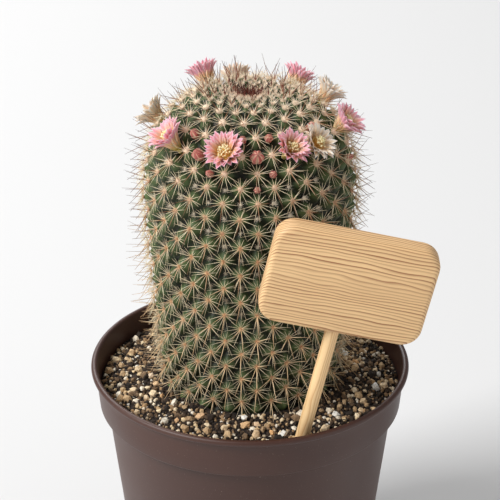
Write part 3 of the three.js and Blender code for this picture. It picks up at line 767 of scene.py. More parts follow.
print("the stick leans to", [round(part, 3) for part in sign_frame.col[2][:3]])

# %% Points at the tubercles' tips
FIRST_AREOLE = 2
CROWDED_RADIUS = 8.0  # nearer the crown's middle only every second tubercle bears spines
SPARSE_RADIUS = 22  # inside it, two in three areoles have only specks for centrals
SPARSE_SHARE, SPARSE_SIZE = 0.66, 0.02
YOUNG_RADIUS, YOUNG_WIDTH = 26, 16  # where youth starts on the crown, and how far in it is full
YOUNG_LEVEL = 60  # above the rim; no areole below it is young
AREOLE_LIFT = 0.12  # areoles look up the body by this much
BOARD_GAP, BOARD_ROOM = 0.5, 8.5  # spines are stubs this near to the board, and whole this much further off
STUB = 0.12

draw = np.random.default_rng(11)


def unit(vectors):
    return vectors / np.linalg.norm(vectors, axis=1)[:, None]


def full_from(values, full, least):
    """A size that grows with a measure, is 1 from its full value on, and never less than the least."""
    return np.clip(values / full, least, 1)


def point_cloud(name, frames, size, youth, phase=0.0):
    """A mesh of loose points that the spray tree grows needles on."""
    return new_mesh(
        name, lean(frames["place"]), [], outward=lean(frames["outward"], True),
        upward=lean(frames["upward"], True), size=size, youth=youth, level=frames["height"],
        phase=np.zeros(len(frames["place"])) + phase,
    )


areole_corners = np.arange(FIRST_AREOLE, len(spiral), 2)
crowded = outline_at(distance_of(areole_corners))[0] < CROWDED_RADIUS
areole_corners = areole_corners[~crowded | (areole_corners % 4 == 0)]
areole_count = len(areole_corners)
areoles = corner_frames(areole_corners)
areoles["outward"] = unit(areoles["outward"] + AREOLE_LIFT * areoles["upward"])
areoles["upward"] -= areoles["outward"] * np.sum(areoles["outward"] * areoles["upward"], axis=1)[:, None]
areole_youth = np.clip((YOUNG_RADIUS - areoles["radius"]) / YOUNG_WIDTH, 0, 1)
areole_youth *= areoles["height"] > YOUNG_LEVEL
areole_size = full_from(areoles["pitch"], 8.0, 0.5) * draw.uniform(0.92, 1.08, areole_count)
areole_size *= full_from(areoles["radius"], 22, 0.65)
central_size = full_from(areoles["radius"], 16, 0.42) * draw.uniform(0.8, 1.15, areole_count)
is_sparse = (areoles["radius"] < SPARSE_RADIUS) & (draw.uniform(0, 1, areole_count) < SPARSE_SHARE)
central_size[is_sparse] = SPARSE_SIZE
room = full_from(board_distance(areoles["place"]) - BOARD_GAP, BOARD_ROOM, STUB)
print("areoles:", areole_count, "young:", int((areole_youth > 0.5).sum()))


# %% Spine colours
def ramp(tree, value, *stops):
    """A colour ramp through (position, colour) stops."""
    node = add_node(tree, "ShaderNodeValToRGB", {"Fac": value})
    elements = node.color_ramp.elements
    while len(elements) < len(stops):
        elements.new(1.0)
    for element, (position, colour) in zip(elements, stops):
        element.position = position
        element.color = linear(colour)
    return node.outputs["Color"]


def spine_material(name, old, grown, young):
    """Spines run through three colours from root to tip, and change from the soil to the crown."""
    material, tree, shader = new_material(name, 0.45)
    along = attribute(tree, "along")
    old, grown, young = (ramp(tree, along, *zip((0.0, 0.45, 1.0), age)) for age in (old, grown, young))
    aged = blend_colour(tree, stretch(tree, attribute(tree, "level"), 15, 70), old, grown)
    colour = blend_colour(tree, attribute(tree, "youth"), aged, young)
    shaded = scale_by(tree, colour, stretch(tree, attribute(tree, "tint"), -1, 1, 0.8, 1.08))
    streak = noise(tree, object_place(tree), 1500, 2)
    paint(tree, shader, shaded, roughness=stretch(tree, streak, 0.3, 0.7, 0.4, 0.6))
    return material


radial_paint = spine_material(
    "cream_radial_spines",
    old=((212, 178, 140), (228, 212, 178), (212, 196, 162)),
    grown=((242, 204, 156), (255, 241, 206), (255, 234, 192)),
    young=((255, 238, 212), (255, 242, 222), (246, 206, 174)),
)
central_paint = spine_material(
    "tan_central_spines",
    old=((238, 196, 148), (248, 218, 172), (214, 170, 122)),
    grown=((222, 178, 134), (158, 110, 78), (68, 38, 32)),
    young=((150, 76, 58), (112, 46, 34), (64, 24, 18)),
)
print("spine paints:", radial_paint.name, central_paint.name)

# %% Radial spines and the centrals that point down
radial_points = point_cloud(
    "radial_points", areoles, areole_size * room, areole_youth, draw.uniform(0, 2 * math.pi, areole_count)
)
radials = spray(
    "radial_spines", radial_points, length=5.6, thickness=0.11, root_offset=0.35, count=15, seed=3,
    turn_spread=0.2, tilt=1.24, tilt_spread=0.16, young_tilt=0.55, length_spread=0.2, upper_share=0.65,
    material=radial_paint,
)
central_points = point_cloud("central_points", areoles, central_size * room, areole_youth)
down_centrals = spray(
    "down_central_spines", central_points, length=8.4, thickness=0.18, count=1, first_turn=1.5 * math.pi,
    seed=5, turn_spread=0.22, tilt=0.95, tilt_spread=0.16, young_tilt=0.25, length_spread=0.16,
    material=central_paint,
)

# %% The crown's tuft and the centrals that point up
TUFT_SPINES = 26
TUFT_WIDTH = 1.1 * CROWN_END
TUFT_SPLAY = 0.12  # how much its outer spines lean out, for each millimetre from the middle
TUFT_SINK = 0.4
GOLDEN_ANGLE = math.radians(137.5)  # sets them out like the seeds of a sunflower

tuft_order = np.arange(TUFT_SPINES) + 0.5
tuft_turn = tuft_order * GOLDEN_ANGLE
tuft_radius = TUFT_WIDTH * np.sqrt(tuft_order / TUFT_SPINES)
tuft_outward = unit(around(tuft_turn, TUFT_SPLAY * tuft_radius, 1.0))
tuft_frames = {
    "place": around(tuft_turn, tuft_radius, areoles["place"][-1, 2] - TUFT_SINK),
    "outward": tuft_outward,
    "upward": np.cross(tuft_outward, around(tuft_turn + math.pi / 2, 1.0, 0.0)),
    "height": np.full(TUFT_SPINES, CROWN_LEVEL),
}
tuft_size = draw.uniform(0.7, 1.2, TUFT_SPINES)
tuft = spray(
    "crown_tuft", point_cloud("tuft_points", tuft_frames, tuft_size, np.ones(TUFT_SPINES), tuft_turn),
    length=4.0, thickness=0.12, count=4, seed=12, turn_spread=0.6, tilt=0.35, tilt_spread=0.25,
    young_tilt=0.35, length_spread=0.35, material=central_paint,
)
side_centrals = spray(
    "side_central_spines", central_points, length=8.1, thickness=0.13, count=2, first_turn=1.17 * math.pi,
    seed=8, turn_spread=0.45, tilt=0.46, tilt_spread=0.3, young_tilt=0.25, length_spread=0.2,
    material=central_paint,
)
for spines in (radials, down_centrals, side_centrals, tuft):
    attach(spines, "root")
    print(spines.name, len(spines.data.polygons), "faces")

# %% [markdown]
# ## Felt and wool
#
# An areole is a cushion of short felt, tan on old tubercles and creamy white on young ones. Many axils
# of the upper half hold a small tuft of whitish wool. Felt and wool are far too fine to model hair by
# hair, so a small rounded pad carries a spray of short stubby hairs from the same tree, which catches
# the light as wool does.


# %% The pad tree
def make_pad_tree():
    tree, given, result = new_growth("felt_pads", {"Width": 0.001, "Height": 0.0005, "Seed": 1})
    rotation = along_vector(tree, point_value(tree, "outward", "FLOAT_VECTOR"))
    size = times(tree, point_value(tree, "size"), scattered(tree, given["Seed"], 5, 0.12, 1.0))
    width, height = (times(tree, given[side], size) for side in ("Width", "Height"))
    ball = first_output(tree, "GeometryNodeMeshIcoSphere", {"Radius": 1.0, "Subdivisions": 2})
    scale = combine(tree, x=width, y=width, z=height)
    set_out(tree, result, given["Material"], given["Geometry"], ball, rotation, scale)
    return tree


pad_tree = make_pad_tree()


def pads(name, points, width, height, seed, material):
    """Rounded cushions on a cloud of points, in millimetres."""
    piece = grow(name, points, pad_tree, width=width * MM, height=height * MM, seed=seed, material=material)
    piece.data.shade_smooth()
    return piece


# %% Felt and wool colours
def wool_material(name, old, young):
    """Soft and matt, from an old colour to a young one, mottled hair by hair."""
    material, tree, shader = new_material(name, 0.9)
    colour = blend_colour(tree, attribute(tree, "youth"), old, young)
    fuzz = noise(tree, object_place(tree), 2400, 2)
    shaded = scale_by(tree, colour, stretch(tree, fuzz, 0.3, 0.7, 0.72, 1.1))
    paint(tree, shader, shaded, bump(tree, fuzz, 0.5, 0.1))
    return material


felt_paint = wool_material("areole_felt", (222, 180, 140), (255, 242, 224))
cushion_paint = wool_material("areole_cushions", (194, 144, 106), (250, 224, 196))
wool_paint = wool_material("axil_wool", (154, 140, 118), (232, 220, 200))
print("felt and wool paints:", felt_paint.name, cushion_paint.name, wool_paint.name)

# %% Areole cushions with their felt
FELT_LEVEL, FELT_WIDTH = 62, 34  # felt is old below this level and young this much higher
OLD_FELT, YOUNG_FELT = 0.72, 1.15  # its size, and what youth adds
felt_age = np.clip((areoles["height"] - FELT_LEVEL) / FELT_WIDTH, 0, 1)
felt_size = full_from(areoles["pitch"] - 1.5, 5.5, 0.2) * (OLD_FELT + YOUNG_FELT * felt_age)
felt_points = point_cloud("felt_points", areoles, felt_size, felt_age)
felt_pads = pads("areole_pads", felt_points, width=0.7, height=0.5, seed=2, material=cushion_paint)
felt_hair = spray(
    "areole_felt", felt_points, length=1.1, thickness=0.08, root_offset=0.4, count=22, seed=14,
    turn_spread=0.5, tilt=0.85, tilt_spread=0.6, young_tilt=0.8, length_spread=0.3, material=felt_paint,
)

# %% Wool in the axils
FIRST_AXIL = 17
WOOL_RISE = 1.0  # above the bottom of the axil
WOOL_TOP = 88
axils = corner_frames(np.arange(FIRST_AXIL, len(spiral), 2), raised=0.0)
axils["place"] = axils["place"] + WOOL_RISE * axils["outward"]
wool_share = np.clip((axils["height"] - 15) / 50, 0, 0.85)  # none near the soil, most higher up
woolly = (draw.uniform(0, 1, len(wool_share)) < wool_share) & (axils["height"] < WOOL_TOP)
axils = {label: values[woolly] for label, values in axils.items()}
wool_count = len(axils["height"])
axil_age = np.clip((axils["height"] - 45) / 30, 0, 1)
axil_size = full_from(axils["pitch"], 10, 0.35) * draw.uniform(0.55, 1.1, wool_count)
wool_points = point_cloud("wool_points", axils, axil_size, axil_age, draw.uniform(0, 6, wool_count))
axil_pads = pads("axil_wool_pads", wool_points, width=0.6, height=0.45, seed=4, material=wool_paint)
axil_hair = spray(
    "axil_wool", wool_points, length=1.35, thickness=0.03, root_offset=0.3, count=80, seed=21,
    turn_spread=1.2, tilt=0.85, tilt_spread=0.9, young_tilt=0.75, length_spread=0.6, material=wool_paint,
)
for wool in (felt_pads, felt_hair, axil_pads, axil_hair):
    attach(wool, "root")
    print(wool.name, len(wool.data.polygons), "faces")

# %% [markdown]
# ## Petals
#
# Each flower is a funnel some 14 mm wide: a short tube with sepals, two layers of narrow pointed petals
# that bend outwards, a ring of stamens and a small star of stigma lobes. Everything in it repeats round
# one axis, so a second tree makes whorls: it sets a given blade round the axis as often as asked, each
# one a little turned, leant and scaled by a seeded draw. The blade itself is a closed shell shaped
# along a bent middle line. It keeps how far along and across it each point is for the paint.

# %% Blades: petals and sepals
BLADE_ROWS = 12
BLADE_COLUMNS = 6
LEAST_HALF_WIDTH = 0.03


def outward_faces(mesh):
    """Turns a closed mesh's faces to point outwards."""
    shape = bmesh.new()
    shape.from_mesh(mesh)
    bmesh.ops.recalc_face_normals(shape, faces=shape.faces)
    shape.to_mesh(mesh)
    shape.free()
    return mesh


def bend(path, share):
    """Points on a cubic curve through four control points of (radius, height)."""
    share = np.asarray(share)[:, None]
    start, first, second, end = np.asarray(path, float)
    return (
        (1 - share) ** 3 * start
        + 3 * (1 - share) ** 2 * share * first
        + 3 * (1 - share) * share**2 * second
        + share**3 * end
    )


def blade_width(share, root_width, width, widest):
    """Half width along a lanceolate blade: it swells to its widest place and runs out to a point."""
    swell = np.clip(share / widest, 0, 1)
    swell = swell * swell * (3 - 2 * swell)
    taper = np.clip((share - widest) / (1 - widest), 0, 1)
    return (root_width + (width - root_width) * swell) * (1 - taper**1.7) ** 0.95


def blade_edge(rows, columns):
    """The points round the edge of a blade's grid, in order."""
    width = columns + 1
    edge = [row * width for row in range(rows)] + [rows * width + column for column in range(columns)]
    edge += [row * width + columns for row in range(rows, 0, -1)] + list(range(columns, 0, -1))
    return edge


def blade(name, path, width, root_width, thickness, cup=0.35, groove=0.12, widest=0.55):
    """A closed blade that stands on the axis' +X side, with its inner face towards the axis."""
    along = np.linspace(0, 1, BLADE_ROWS + 1)
    across = np.linspace(-1, 1, BLADE_COLUMNS + 1)
    centre = bend(path, along)
    tangent = unit(np.gradient(centre, axis=0))
    inward = np.stack([-tangent[:, 1], tangent[:, 0]], axis=1)
    half = np.maximum(blade_width(along, root_width, width, widest), LEAST_HALF_WIDTH)[:, None]
    lift = half * (cup * across**2 - groove * (1 - np.abs(across)) ** 2)
    body = thickness * (1 - 0.5 * along)[:, None] * (1 - 0.75 * across**2)
    sides = []
    for height in (lift, lift - body):
        radius = centre[:, 0:1] + inward[:, 0:1] * height
        rise = centre[:, 1:2] + inward[:, 1:2] * height
        sides.append(np.stack([radius, half * across, rise], axis=-1).reshape(-1, 3))
    count = len(sides[0])
    inner = grid_faces(BLADE_ROWS + 1, BLADE_COLUMNS + 1, closed=False)
    faces = inner + [tuple(count + corner for corner in reversed(face)) for face in inner]
    edge = blade_edge(BLADE_ROWS, BLADE_COLUMNS)
    for here, after in zip(edge, edge[1:] + edge[:1]):
        faces.append((here, after, count + after, count + here))
    alongs, acrosses = (part.ravel() for part in np.meshgrid(along, across, indexing="ij"))
    mesh = new_mesh(
        name, np.vstack(sides), faces, along=np.tile(alongs, 2), across=np.tile(acrosses, 2),
        inside=np.repeat([1.0, 0.0], count),
    )
    return outward_faces(mesh)


# %% Threads: stamens and stigma lobes
THREAD_SIDES = 5


def full_turn(steps):
    """Azimuths in radians, evenly round one turn."""
    return np.linspace(0, 2 * math.pi, steps, endpoint=False)


def thread(name, path, radius, anther):
    """A thin thread that ends in an oblong anther, as one turned piece along a bent line."""
    along = np.array([0, 0.35, 0.7, 0.82, 0.88, 0.95, 1.0])
    widths = np.array([radius, radius, radius * 0.8, radius * 0.8, anther * 0.8, anther, anther * 0.4])
    centre, angle = bend(path, along), full_turn(THREAD_SIDES)
    points = np.stack(
        [
            centre[:, 0:1] + widths[:, None] * np.cos(angle),
            widths[:, None] * np.sin(angle),
            np.repeat(centre[:, 1:2], THREAD_SIDES, axis=1),
        ],
        axis=-1,
    ).reshape(-1, 3)
    faces = grid_faces(len(along), THREAD_SIDES)
    faces.append(tuple(reversed(range(THREAD_SIDES))))
    faces.append(tuple(range(len(points) - THREAD_SIDES, len(points))))
    ends = np.repeat(along, THREAD_SIDES)
    return outward_faces(new_mesh(name, points, faces, along=ends, across=0 * ends, inside=1 + 0 * ends))


# %% The whorl tree
whorl_inputs = {
    "Count": 10,
    "First turn": 0.0,
    "Turn spread": 0.06,
    "Lean": 0.0,
    "Lean spread": 0.06,
    "Size spread": 0.06,
    "Hinge height": 0.005,
    "Seed": 1,
}


def make_whorl_tree():
    tree, given, result = new_growth("whorl", whorl_inputs)
    seed = given["Seed"]
    hinge = combine(tree, z=given["Hinge height"])
    inputs = {"Geometry": given["Geometry"], "Translation": scale_by(tree, hinge, -1.0)}
    lowered = first_output(tree, "GeometryNodeTransform", inputs)
    points = first_output(tree, "GeometryNodePoints", {"Count": given["Count"], "Position": hinge})
    share = calculate(tree, "DIVIDE", first_output(tree, "GeometryNodeInputIndex"), given["Count"])
    turn = calculate(tree, "MULTIPLY_ADD", share, 2 * math.pi, given["First turn"])
    turn = plus(tree, turn, scattered(tree, seed, 3, given["Turn spread"]))
    leaning = plus(tree, given["Lean"], scattered(tree, seed, 7, given["Lean spread"]))
    rotation = first_output(tree, "FunctionNodeEulerToRotation", {0: combine(tree, y=leaning, z=turn)})
    size = scattered(tree, seed, 13, given["Size spread"], 1.0)
    tinted = store(tree, points, "tint", scattered(tree, seed, 17))
    set_out(tree, result, given["Material"], tinted, lowered, rotation, size)
    return tree


whorl_tree = make_whorl_tree()


def whorl(name, blade_mesh, hinge, **values):
    """Blades round the axis; they lean about a hinge at a height in millimetres."""
    return grow(name, blade_mesh, whorl_tree, hinge_height=hinge * MM, **values)


# %% [markdown]
# ## Petal paint
#
# A pink petal is yellow at its root, rose in the middle and almost white at its edges, with a magenta
# stripe along its middle that is stronger on the back. The cream and peach flowers are painted the same
# way in other colours, so the paint is one shader group with named colours.


# %% The petal shader group
MIDRIB = 0.15  # half the width that the stripe and the petal's own colour start from
FRONT_STRIPE = 0.3  # its strength on the inner face


def make_petal_paint():
    inputs = dict.fromkeys(("Throat", "Petal", "Edge", "Stripe"), "NodeSocketColor") | {"Back stripe": 0.6}
    outputs = {"Colour": "NodeSocketColor", "Height": "NodeSocketFloat"}
    tree, given, result = new_group("petal_paint", "ShaderNodeTree", inputs, outputs)
    along, across = attribute(tree, "along"), attribute(tree, "across")
    inside, tint = attribute(tree, "inside"), attribute(tree, "tint")
    veins = combine(tree, x=times(tree, across, 9.0), y=along, z=tint)
    streak = noise(tree, veins, 1.6, 2)
    off_middle = calculate(tree, "SUBTRACT", calculate(tree, "ABSOLUTE", across), MIDRIB)
    ragged = calculate(tree, "MULTIPLY_ADD", streak, 0.3, off_middle)
    edged = blend_colour(tree, stretch(tree, ragged, 0.35, 0.85), given["Petal"], given["Edge"])
    is_back = calculate(tree, "SUBTRACT", 1.0, inside)
    more_behind = calculate(tree, "SUBTRACT", given["Back stripe"], FRONT_STRIPE)
    strength = calculate(tree, "MULTIPLY_ADD", is_back, more_behind, FRONT_STRIPE)
    stripe = times(tree, stretch(tree, ragged, 0.0, 0.3, 1, 0), strength)
    stripe = times(tree, stripe, stretch(tree, along, 0.15, 0.6))
    striped = blend_colour(tree, stripe, edged, given["Stripe"])
    inner_reach = times(tree, stretch(tree, along, 0.18, 0.85), inside)
    back_reach = times(tree, stretch(tree, along, 0.0, 0.45), is_back)
    reach = plus(tree, inner_reach, back_reach)
    rooted = blend_colour(tree, reach, given["Throat"], striped)
    shaded = scale_by(tree, rooted, stretch(tree, tint, -1, 1, 0.9, 1.06))
    tree.links.new(shaded, result["Colour"])
    tree.links.new(streak, result["Height"])
    return tree


petal_paint = make_petal_paint()
print("petal paint nodes:", len(petal_paint.nodes))

# %% Petal, sepal and stamen colours
THIN_PETAL = {
    "Sheen Weight": 0.15, "Subsurface Weight": 0.4, "Subsurface Radius": (1.0, 0.85, 0.75),
    "Subsurface Scale": 0.5 * MM,
}  # fmt: skip


def petal_material(name, throat, petal, edge, stripe):
    material, tree, shader = new_material(name, 0.5)
    colours = {"Throat": throat, "Petal": petal, "Edge": edge, "Stripe": stripe}
    group = add_node(tree, "ShaderNodeGroup", colours, node_tree=petal_paint).outputs
    paint(tree, shader, group["Colour"], bump(tree, group["Height"], 0.25, 0.15))
    for label, value in THIN_PETAL.items():
        shader[label].default_value = value
    return material


def stamen_material():
    material, tree, shader = new_material("cream_stamens", 0.6)
    stops = (0.0, (255, 202, 116)), (0.78, (255, 226, 152)), (0.9, (255, 244, 196))
    pollen = noise(tree, object_place(tree), 4000, 2)
    paint(tree, shader, ramp(tree, attribute(tree, "along"), *stops), bump(tree, pollen, 0.4, 0.05))
    return material


# the throat, the petal, its edge and its stripe
PETAL_COLOURS = {
    "pink_petals": ((255, 200, 112), (255, 173, 191), (255, 205, 220), (222, 104, 134)),
    "cream_petals": ((255, 202, 144), (255, 234, 210), (255, 250, 242), (255, 196, 162)),
    "peach_petals": ((255, 212, 150), (255, 226, 198), (255, 242, 228), (236, 164, 150)),
    "sepals": ((214, 182, 58), (248, 196, 148), (255, 222, 186), (200, 104, 96)),
    "bud_sepals": ((158, 136, 66), (202, 108, 98), (246, 192, 162), (146, 48, 56)),
}
petal_paints = {name: petal_material(name, *colours) for name, colours in PETAL_COLOURS.items()}
stamen_paint = stamen_material()
print("petal paints:", ", ".join(petal_paints))

# %% Blades of a flower and of a bud, in millimetres from the tube's foot
THROAT = 5.2
inner_petal = blade(
    "inner_petal", [(2.0, 3.6), (3.1, 6.2), (3.9, 7.9), (6.1, 9.5)],
    width=1.14, root_width=0.62, thickness=0.16,
)
outer_petal = blade(
    "outer_petal", [(2.3, 3.6), (3.6, 5.9), (4.9, 7.6), (7.2, 8.3)],
    width=1.22, root_width=0.66, thickness=0.18,
)
sepal = blade(
    "sepal", [(1.1, 0.5), (2.2, 2.6), (3.0, 4.6), (4.3, 6.3)],
    width=0.85, root_width=0.5, thickness=0.3, widest=0.45,
)
stamen = thread("stamen", [(0.9, 4.2), (1.2, 5.4), (1.35, 6.3), (1.7, 7.4)], 0.09, 0.3)
stigma_lobe = thread("stigma_lobe", [(0.12, 4.2), (0.15, 6.0), (0.2, 7.4), (0.7, 8.1)], 0.2, 0.2)
bud_leaf = blade(
    "bud_leaf", [(0.75, -1.2), (3.0, 0.9), (2.6, 4.2), (0.1, 5.4)],
    width=1.25, root_width=0.7, thickness=0.25, cup=0.55, widest=0.42,
)


def lathe(outline, sides):
    """Points and faces of an outline of (radius, height) turned about Z; it starts and ends on the axis."""
    rings = np.asarray(outline[1:-1], float)
    points = around(full_turn(sides), rings[:, :1], rings[:, 1:])
    return capped_grid(points, sides, outline[0][1], outline[-1][1])


def funnel_mesh():
    """The flower's tube: a thin-walled funnel that opens at the throat."""
    outline = [
        (0, -1.6), (0.95, -1.6), (1.1, 0.4), (1.5, 2.0), (2.1, 3.8), (2.7, THROAT),
        (2.3, THROAT), (1.8, 3.9), (1.2, 2.6), (0, 2.4),
    ]  # fmt: skip
    points, faces = lathe(outline, 24)
    level, none = points[:, 2] * 0.045, 0 * points[:, 2]
    return outward_faces(new_mesh("tube", points, faces, along=level, across=none, inside=none, tint=none))


print("a petal has", len(outer_petal.polygons), "faces, a stamen", len(stamen.polygons))

# %% [markdown]
# ## Flowers and buds in their axils
#
# The flowers stand in the axils of a ring near the crown, each tilted a little to the light, and a few
# of them further or opened more or less. The list names the axil by its azimuth and height, as the
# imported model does, and each flower's own seed makes it differ from its neighbours.

# %% Where the flowers and buds stand
BLOOMS = [
    (-14.4, 93.5, 1, "pink"), (22.5, 94.2, 0.93, "pink"), (41, 94.5, 0.93, "cream"),
    (77.9, 95.1, 1, "pink"), (105.6, 100.3, 0.95, "cream"), (142.5, 100.7, 0.95, "pink"),
    (-171.3, 96.8, 0.97, "peach"), (-143.6, 101.5, 1, "pink"), (-106.7, 92, 1, "cream"),
    (-51.3, 92.9, 1.04, "pink"),
]  # fmt: skip
BUDS = [
    (-42.1, 98.6, 0.7), (-32.8, 93.2, 0.88), (4.1, 93.8, 1), (-5.1, 99, 0.58), (-23.6, 87.9, 0.6),
    (4.1, 83.4, 0.5), (13.3, 88.4, 0.58), (13.3, 99.2, 0.62), (50.2, 99.7, 0.7), (77.9, 84.4, 0.6),
    (161, 91, 0.9),
]  # fmt: skip
BLOOM_OPENINGS = {3: 0.2, 7: -0.2, 8: -0.1}  # radians that the petals lean out, by the flower's number
BLOOM_SEAT = 1.5
BUD_SEAT = 1.15
TO_THE_LIGHT = (0, 0, 0.12)
# the flowers that turn further, by number
BLOOM_PULLS = {1: (0, 0, 0.3), 2: (0.25, 0, 0.4), 3: (0.35, 0, 0.35), 10: (-0.05, 0.38, 0.35)}
all_axils = corner_frames(np.arange(1, len(spiral), 2), raised=0.0)


def seat(azimuth, height, size, rise, pull=TO_THE_LIGHT):
    """The frame of a flower or bud in the axil nearest to an azimuth and a height above the rim."""
    turn = all_axils["azimuth"] - math.radians(azimuth)
    sideways = np.arctan2(np.sin(turn), np.cos(turn)) * all_axils["radius"]
    nearest = int(np.argmin(np.hypot(sideways, all_axils["height"] - height)))
    axis = Vector(all_axils["outward"][nearest]) + Vector(pull)
    axis.normalize()
    place = Vector(all_axils["place"][nearest]) + axis * rise
    turn_to = Vector((0, 0, 1)).rotation_difference(axis).to_matrix().to_4x4()
    return plant_frame @ Matrix.Translation(place) @ turn_to @ Matrix.Scale(size, 4)


def move(mesh, place):
    """Moves a mesh by a matrix whose lengths are in millimetres."""
    mesh.transform(Matrix.Scale(MM, 4) @ place @ Matrix.Scale(1 / MM, 4))


def assembled(name, parts, at):
    """Joins parts that were made round the origin, and moves them to a frame given in millimetres."""
    shape = bmesh.new()
    materials = []
    for part in parts:
        first = len(shape.faces)
        shape.from_mesh(part.data)
        shape.faces.ensure_lookup_table()
        part_paint = part.data.materials[-1]
        if part_paint not in materials:
            materials.append(part_paint)
        for face in shape.faces[first:]:
            face.material_index = materials.index(part_paint)
            face.smooth = True
        bpy.data.objects.remove(part)
    mesh = bpy.data.meshes.new(name)
    shape.to_mesh(mesh)
    shape.free()
    for part_paint in materials:
        mesh.materials.append(part_paint)
    move(mesh, at)
    return keep(name, mesh)


# %% The flowers
PETAL_HINGE, SEPAL_HINGE, THREAD_HINGE = 3.6, 0.5, 4.0  # above the tube's foot
FLOWER_SEED, SEEDS_APART = 40, 10


def make_flower(name, petals, seed, at, opening):
    """The petals with their tube, and the stamens, as two pieces."""
    opened = {"hinge": PETAL_HINGE, "material": petal_paints[petals], "lean": opening}
    parts = [
        whorl(
            "outer", outer_petal, count=20, seed=seed, turn_spread=0.08, lean_spread=0.11,
            size_spread=0.07, **opened,
        ),
        whorl(
            "inner", inner_petal, count=17, first_turn=math.pi / 20, seed=seed + 1, turn_spread=0.08,
            lean_spread=0.12, size_spread=0.08, **opened,
        ),
        whorl(
            "sepals", sepal, SEPAL_HINGE, count=9, first_turn=0.2, seed=seed + 2, turn_spread=0.12,
            lean_spread=0.05, size_spread=0.06, material=petal_paints["sepals"],
        ),
        keep("tube", funnel_mesh(), petal_paints["sepals"]),
    ]
    threads = [
        whorl(
            "stamens", stamen, THREAD_HINGE, count=48, seed=seed + 3, turn_spread=0.2, lean=-0.02,
            lean_spread=0.3, size_spread=0.12, material=stamen_paint,
        ),
        whorl(
            "stigma", stigma_lobe, THREAD_HINGE, count=6, seed=seed + 4, turn_spread=0.1,
            lean_spread=0.06, size_spread=0.1, material=stamen_paint,
        ),
    ]
    return assembled(name + "_petals", parts, at), assembled(name + "_petals_stamens", threads, at)


for number, (azimuth, height, size, colour) in enumerate(BLOOMS, start=1):
    node = f"bloom_{number:02d}"
    at = seat(azimuth, height, size, BLOOM_SEAT, BLOOM_PULLS.get(number, TO_THE_LIGHT))
    opening = BLOOM_OPENINGS.get(number, 0.0)
    seed = FLOWER_SEED + SEEDS_APART * number
    flower, stamens = make_flower(node, colour + "_petals", seed, at, opening)
    for piece in (flower, stamens):
        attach(piece, "root")
    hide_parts(node)
print("flowers:", len(BLOOMS))

# %% The buds
OUTER_BUD_SEED, INNER_BUD_SEED = 300, 330
for number, (azimuth, height, size) in enumerate(BUDS, start=1):
    node = f"bud_{number:02d}"
    folded = {"hinge": 0.0, "material": petal_paints["bud_sepals"]}
    parts = [
        whorl(
            "outer", bud_leaf, count=6, seed=OUTER_BUD_SEED + number, turn_spread=0.15, lean_spread=0.03,
            size_spread=0.05, **folded,
        ),
        whorl(
            "inner", bud_leaf, count=5, first_turn=0.5, seed=INNER_BUD_SEED + number, turn_spread=0.1,
            lean=-0.1, lean_spread=0.02, size_spread=0.03, **folded,
        ),
    ]
    bud = assembled(node + "_sepals", parts, seat(azimuth, height, size, BUD_SEAT))
    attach(bud, "root")
    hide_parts(node)
print("buds:", len(BUDS))

# %% [markdown]
# ## The pot
#
# The pot is one turned outline: a tapered wall, a collar 16 mm high that steps out over it, and a rolled
# bead round the rim. The drain holes are cut through its floor. The plastic is a satin brown with faint
# flow marks round the pot and a few specks of dust all over it.

# %% The pot's outline
POT_SIDES = 192
COLLAR_HEIGHT = 16
COLLAR_FOOT = RIM - COLLAR_HEIGHT


def arc(centre, radius, start, end, steps):
    """Points of an arc of an outline, from one angle in degrees to another."""
    angles = np.radians(np.linspace(start, end, steps))
    return [(centre[0] + radius * math.cos(a), centre[1] + radius * math.sin(a)) for a in angles]


pot_outline = [(0, 0), (42.9, 0)]
pot_outline += arc((42.9, 0.8), 0.8, -65, -10, 4)
pot_outline += [(48.9, COLLAR_FOOT - 45), (54.1, COLLAR_FOOT - 1.6), (54.25, COLLAR_FOOT - 0.9)]
pot_outline += arc((55.0, COLLAR_FOOT - 1.0), 0.7, 170, 95, 4)
pot_outline += arc((56.3, COLLAR_FOOT + 0.45), 0.75, -80, -5, 5)
pot_outline += [(57.5, COLLAR_FOOT + 5), (57.9, COLLAR_FOOT + 10), (58.2, RIM - 2.5), (58.35, RIM - 2.15)]
pot_outline += arc((58.8, RIM - 1.2), 1.2, -75, 90, 12)
pot_outline += arc((58.7, RIM - 1.1), 1.1, 90, 178, 7)
pot_outline += [(57.3, RIM - 3), (55.7, COLLAR_FOOT - 0.4), (52.9, COLLAR_FOOT - 1.6)]
pot_outline += [(47.6, COLLAR_FOOT - 45), (42.4, 3.0), (41.2, 1.8), (0, 1.8)]
print("the pot's outline has", len(pot_outline), "points")


# %% Brown plastic
def scaled(tree, place, scale):
    """A place stretched along each axis by its own factor."""
    return first_output(tree, "ShaderNodeMapping", {"Vector": place, "Scale": scale})


def plastic_material():
    material, tree, shader = new_material("brown_pot_plastic", 0.42)
    place = object_place(tree)
    broad = noise(tree, place, 18, 3)
    brown = blend_colour(tree, stretch(tree, broad, 0.35, 0.7), (66, 39, 31), (76, 47, 37))
    flow = noise(tree, scaled(tree, place, (14, 14, 620)), 1, 2)
    specks = noise(tree, place, 1700, 2, 0.7)
    dusty = times(tree, stretch(tree, specks, 0.68, 0.74), 0.5)
    dusted = blend_colour(tree, dusty, brown, (150, 132, 120))
    height = calculate(tree, "MULTIPLY_ADD", flow, 0.6, times(tree, specks, 0.4))
    paint(tree, shader, dusted, bump(tree, height, 0.12, 0.25), stretch(tree, broad, 0.3, 0.7, 0.36, 0.5))
    return material


# %% The pot with its drain holes
DRAIN_HOLES = 6
DRAIN_RADIUS = 4
DRAIN_RING = 27.0


def plug(name, radius, low, high, sides, centre=(0, 0, 0)):
    """A round plug along Z that cuts a hole."""
    points, faces = lathe([(0, low), (radius, low), (radius, high), (0, high)], sides)
    return outward_faces(new_mesh(name, points + centre, faces, smooth=False))


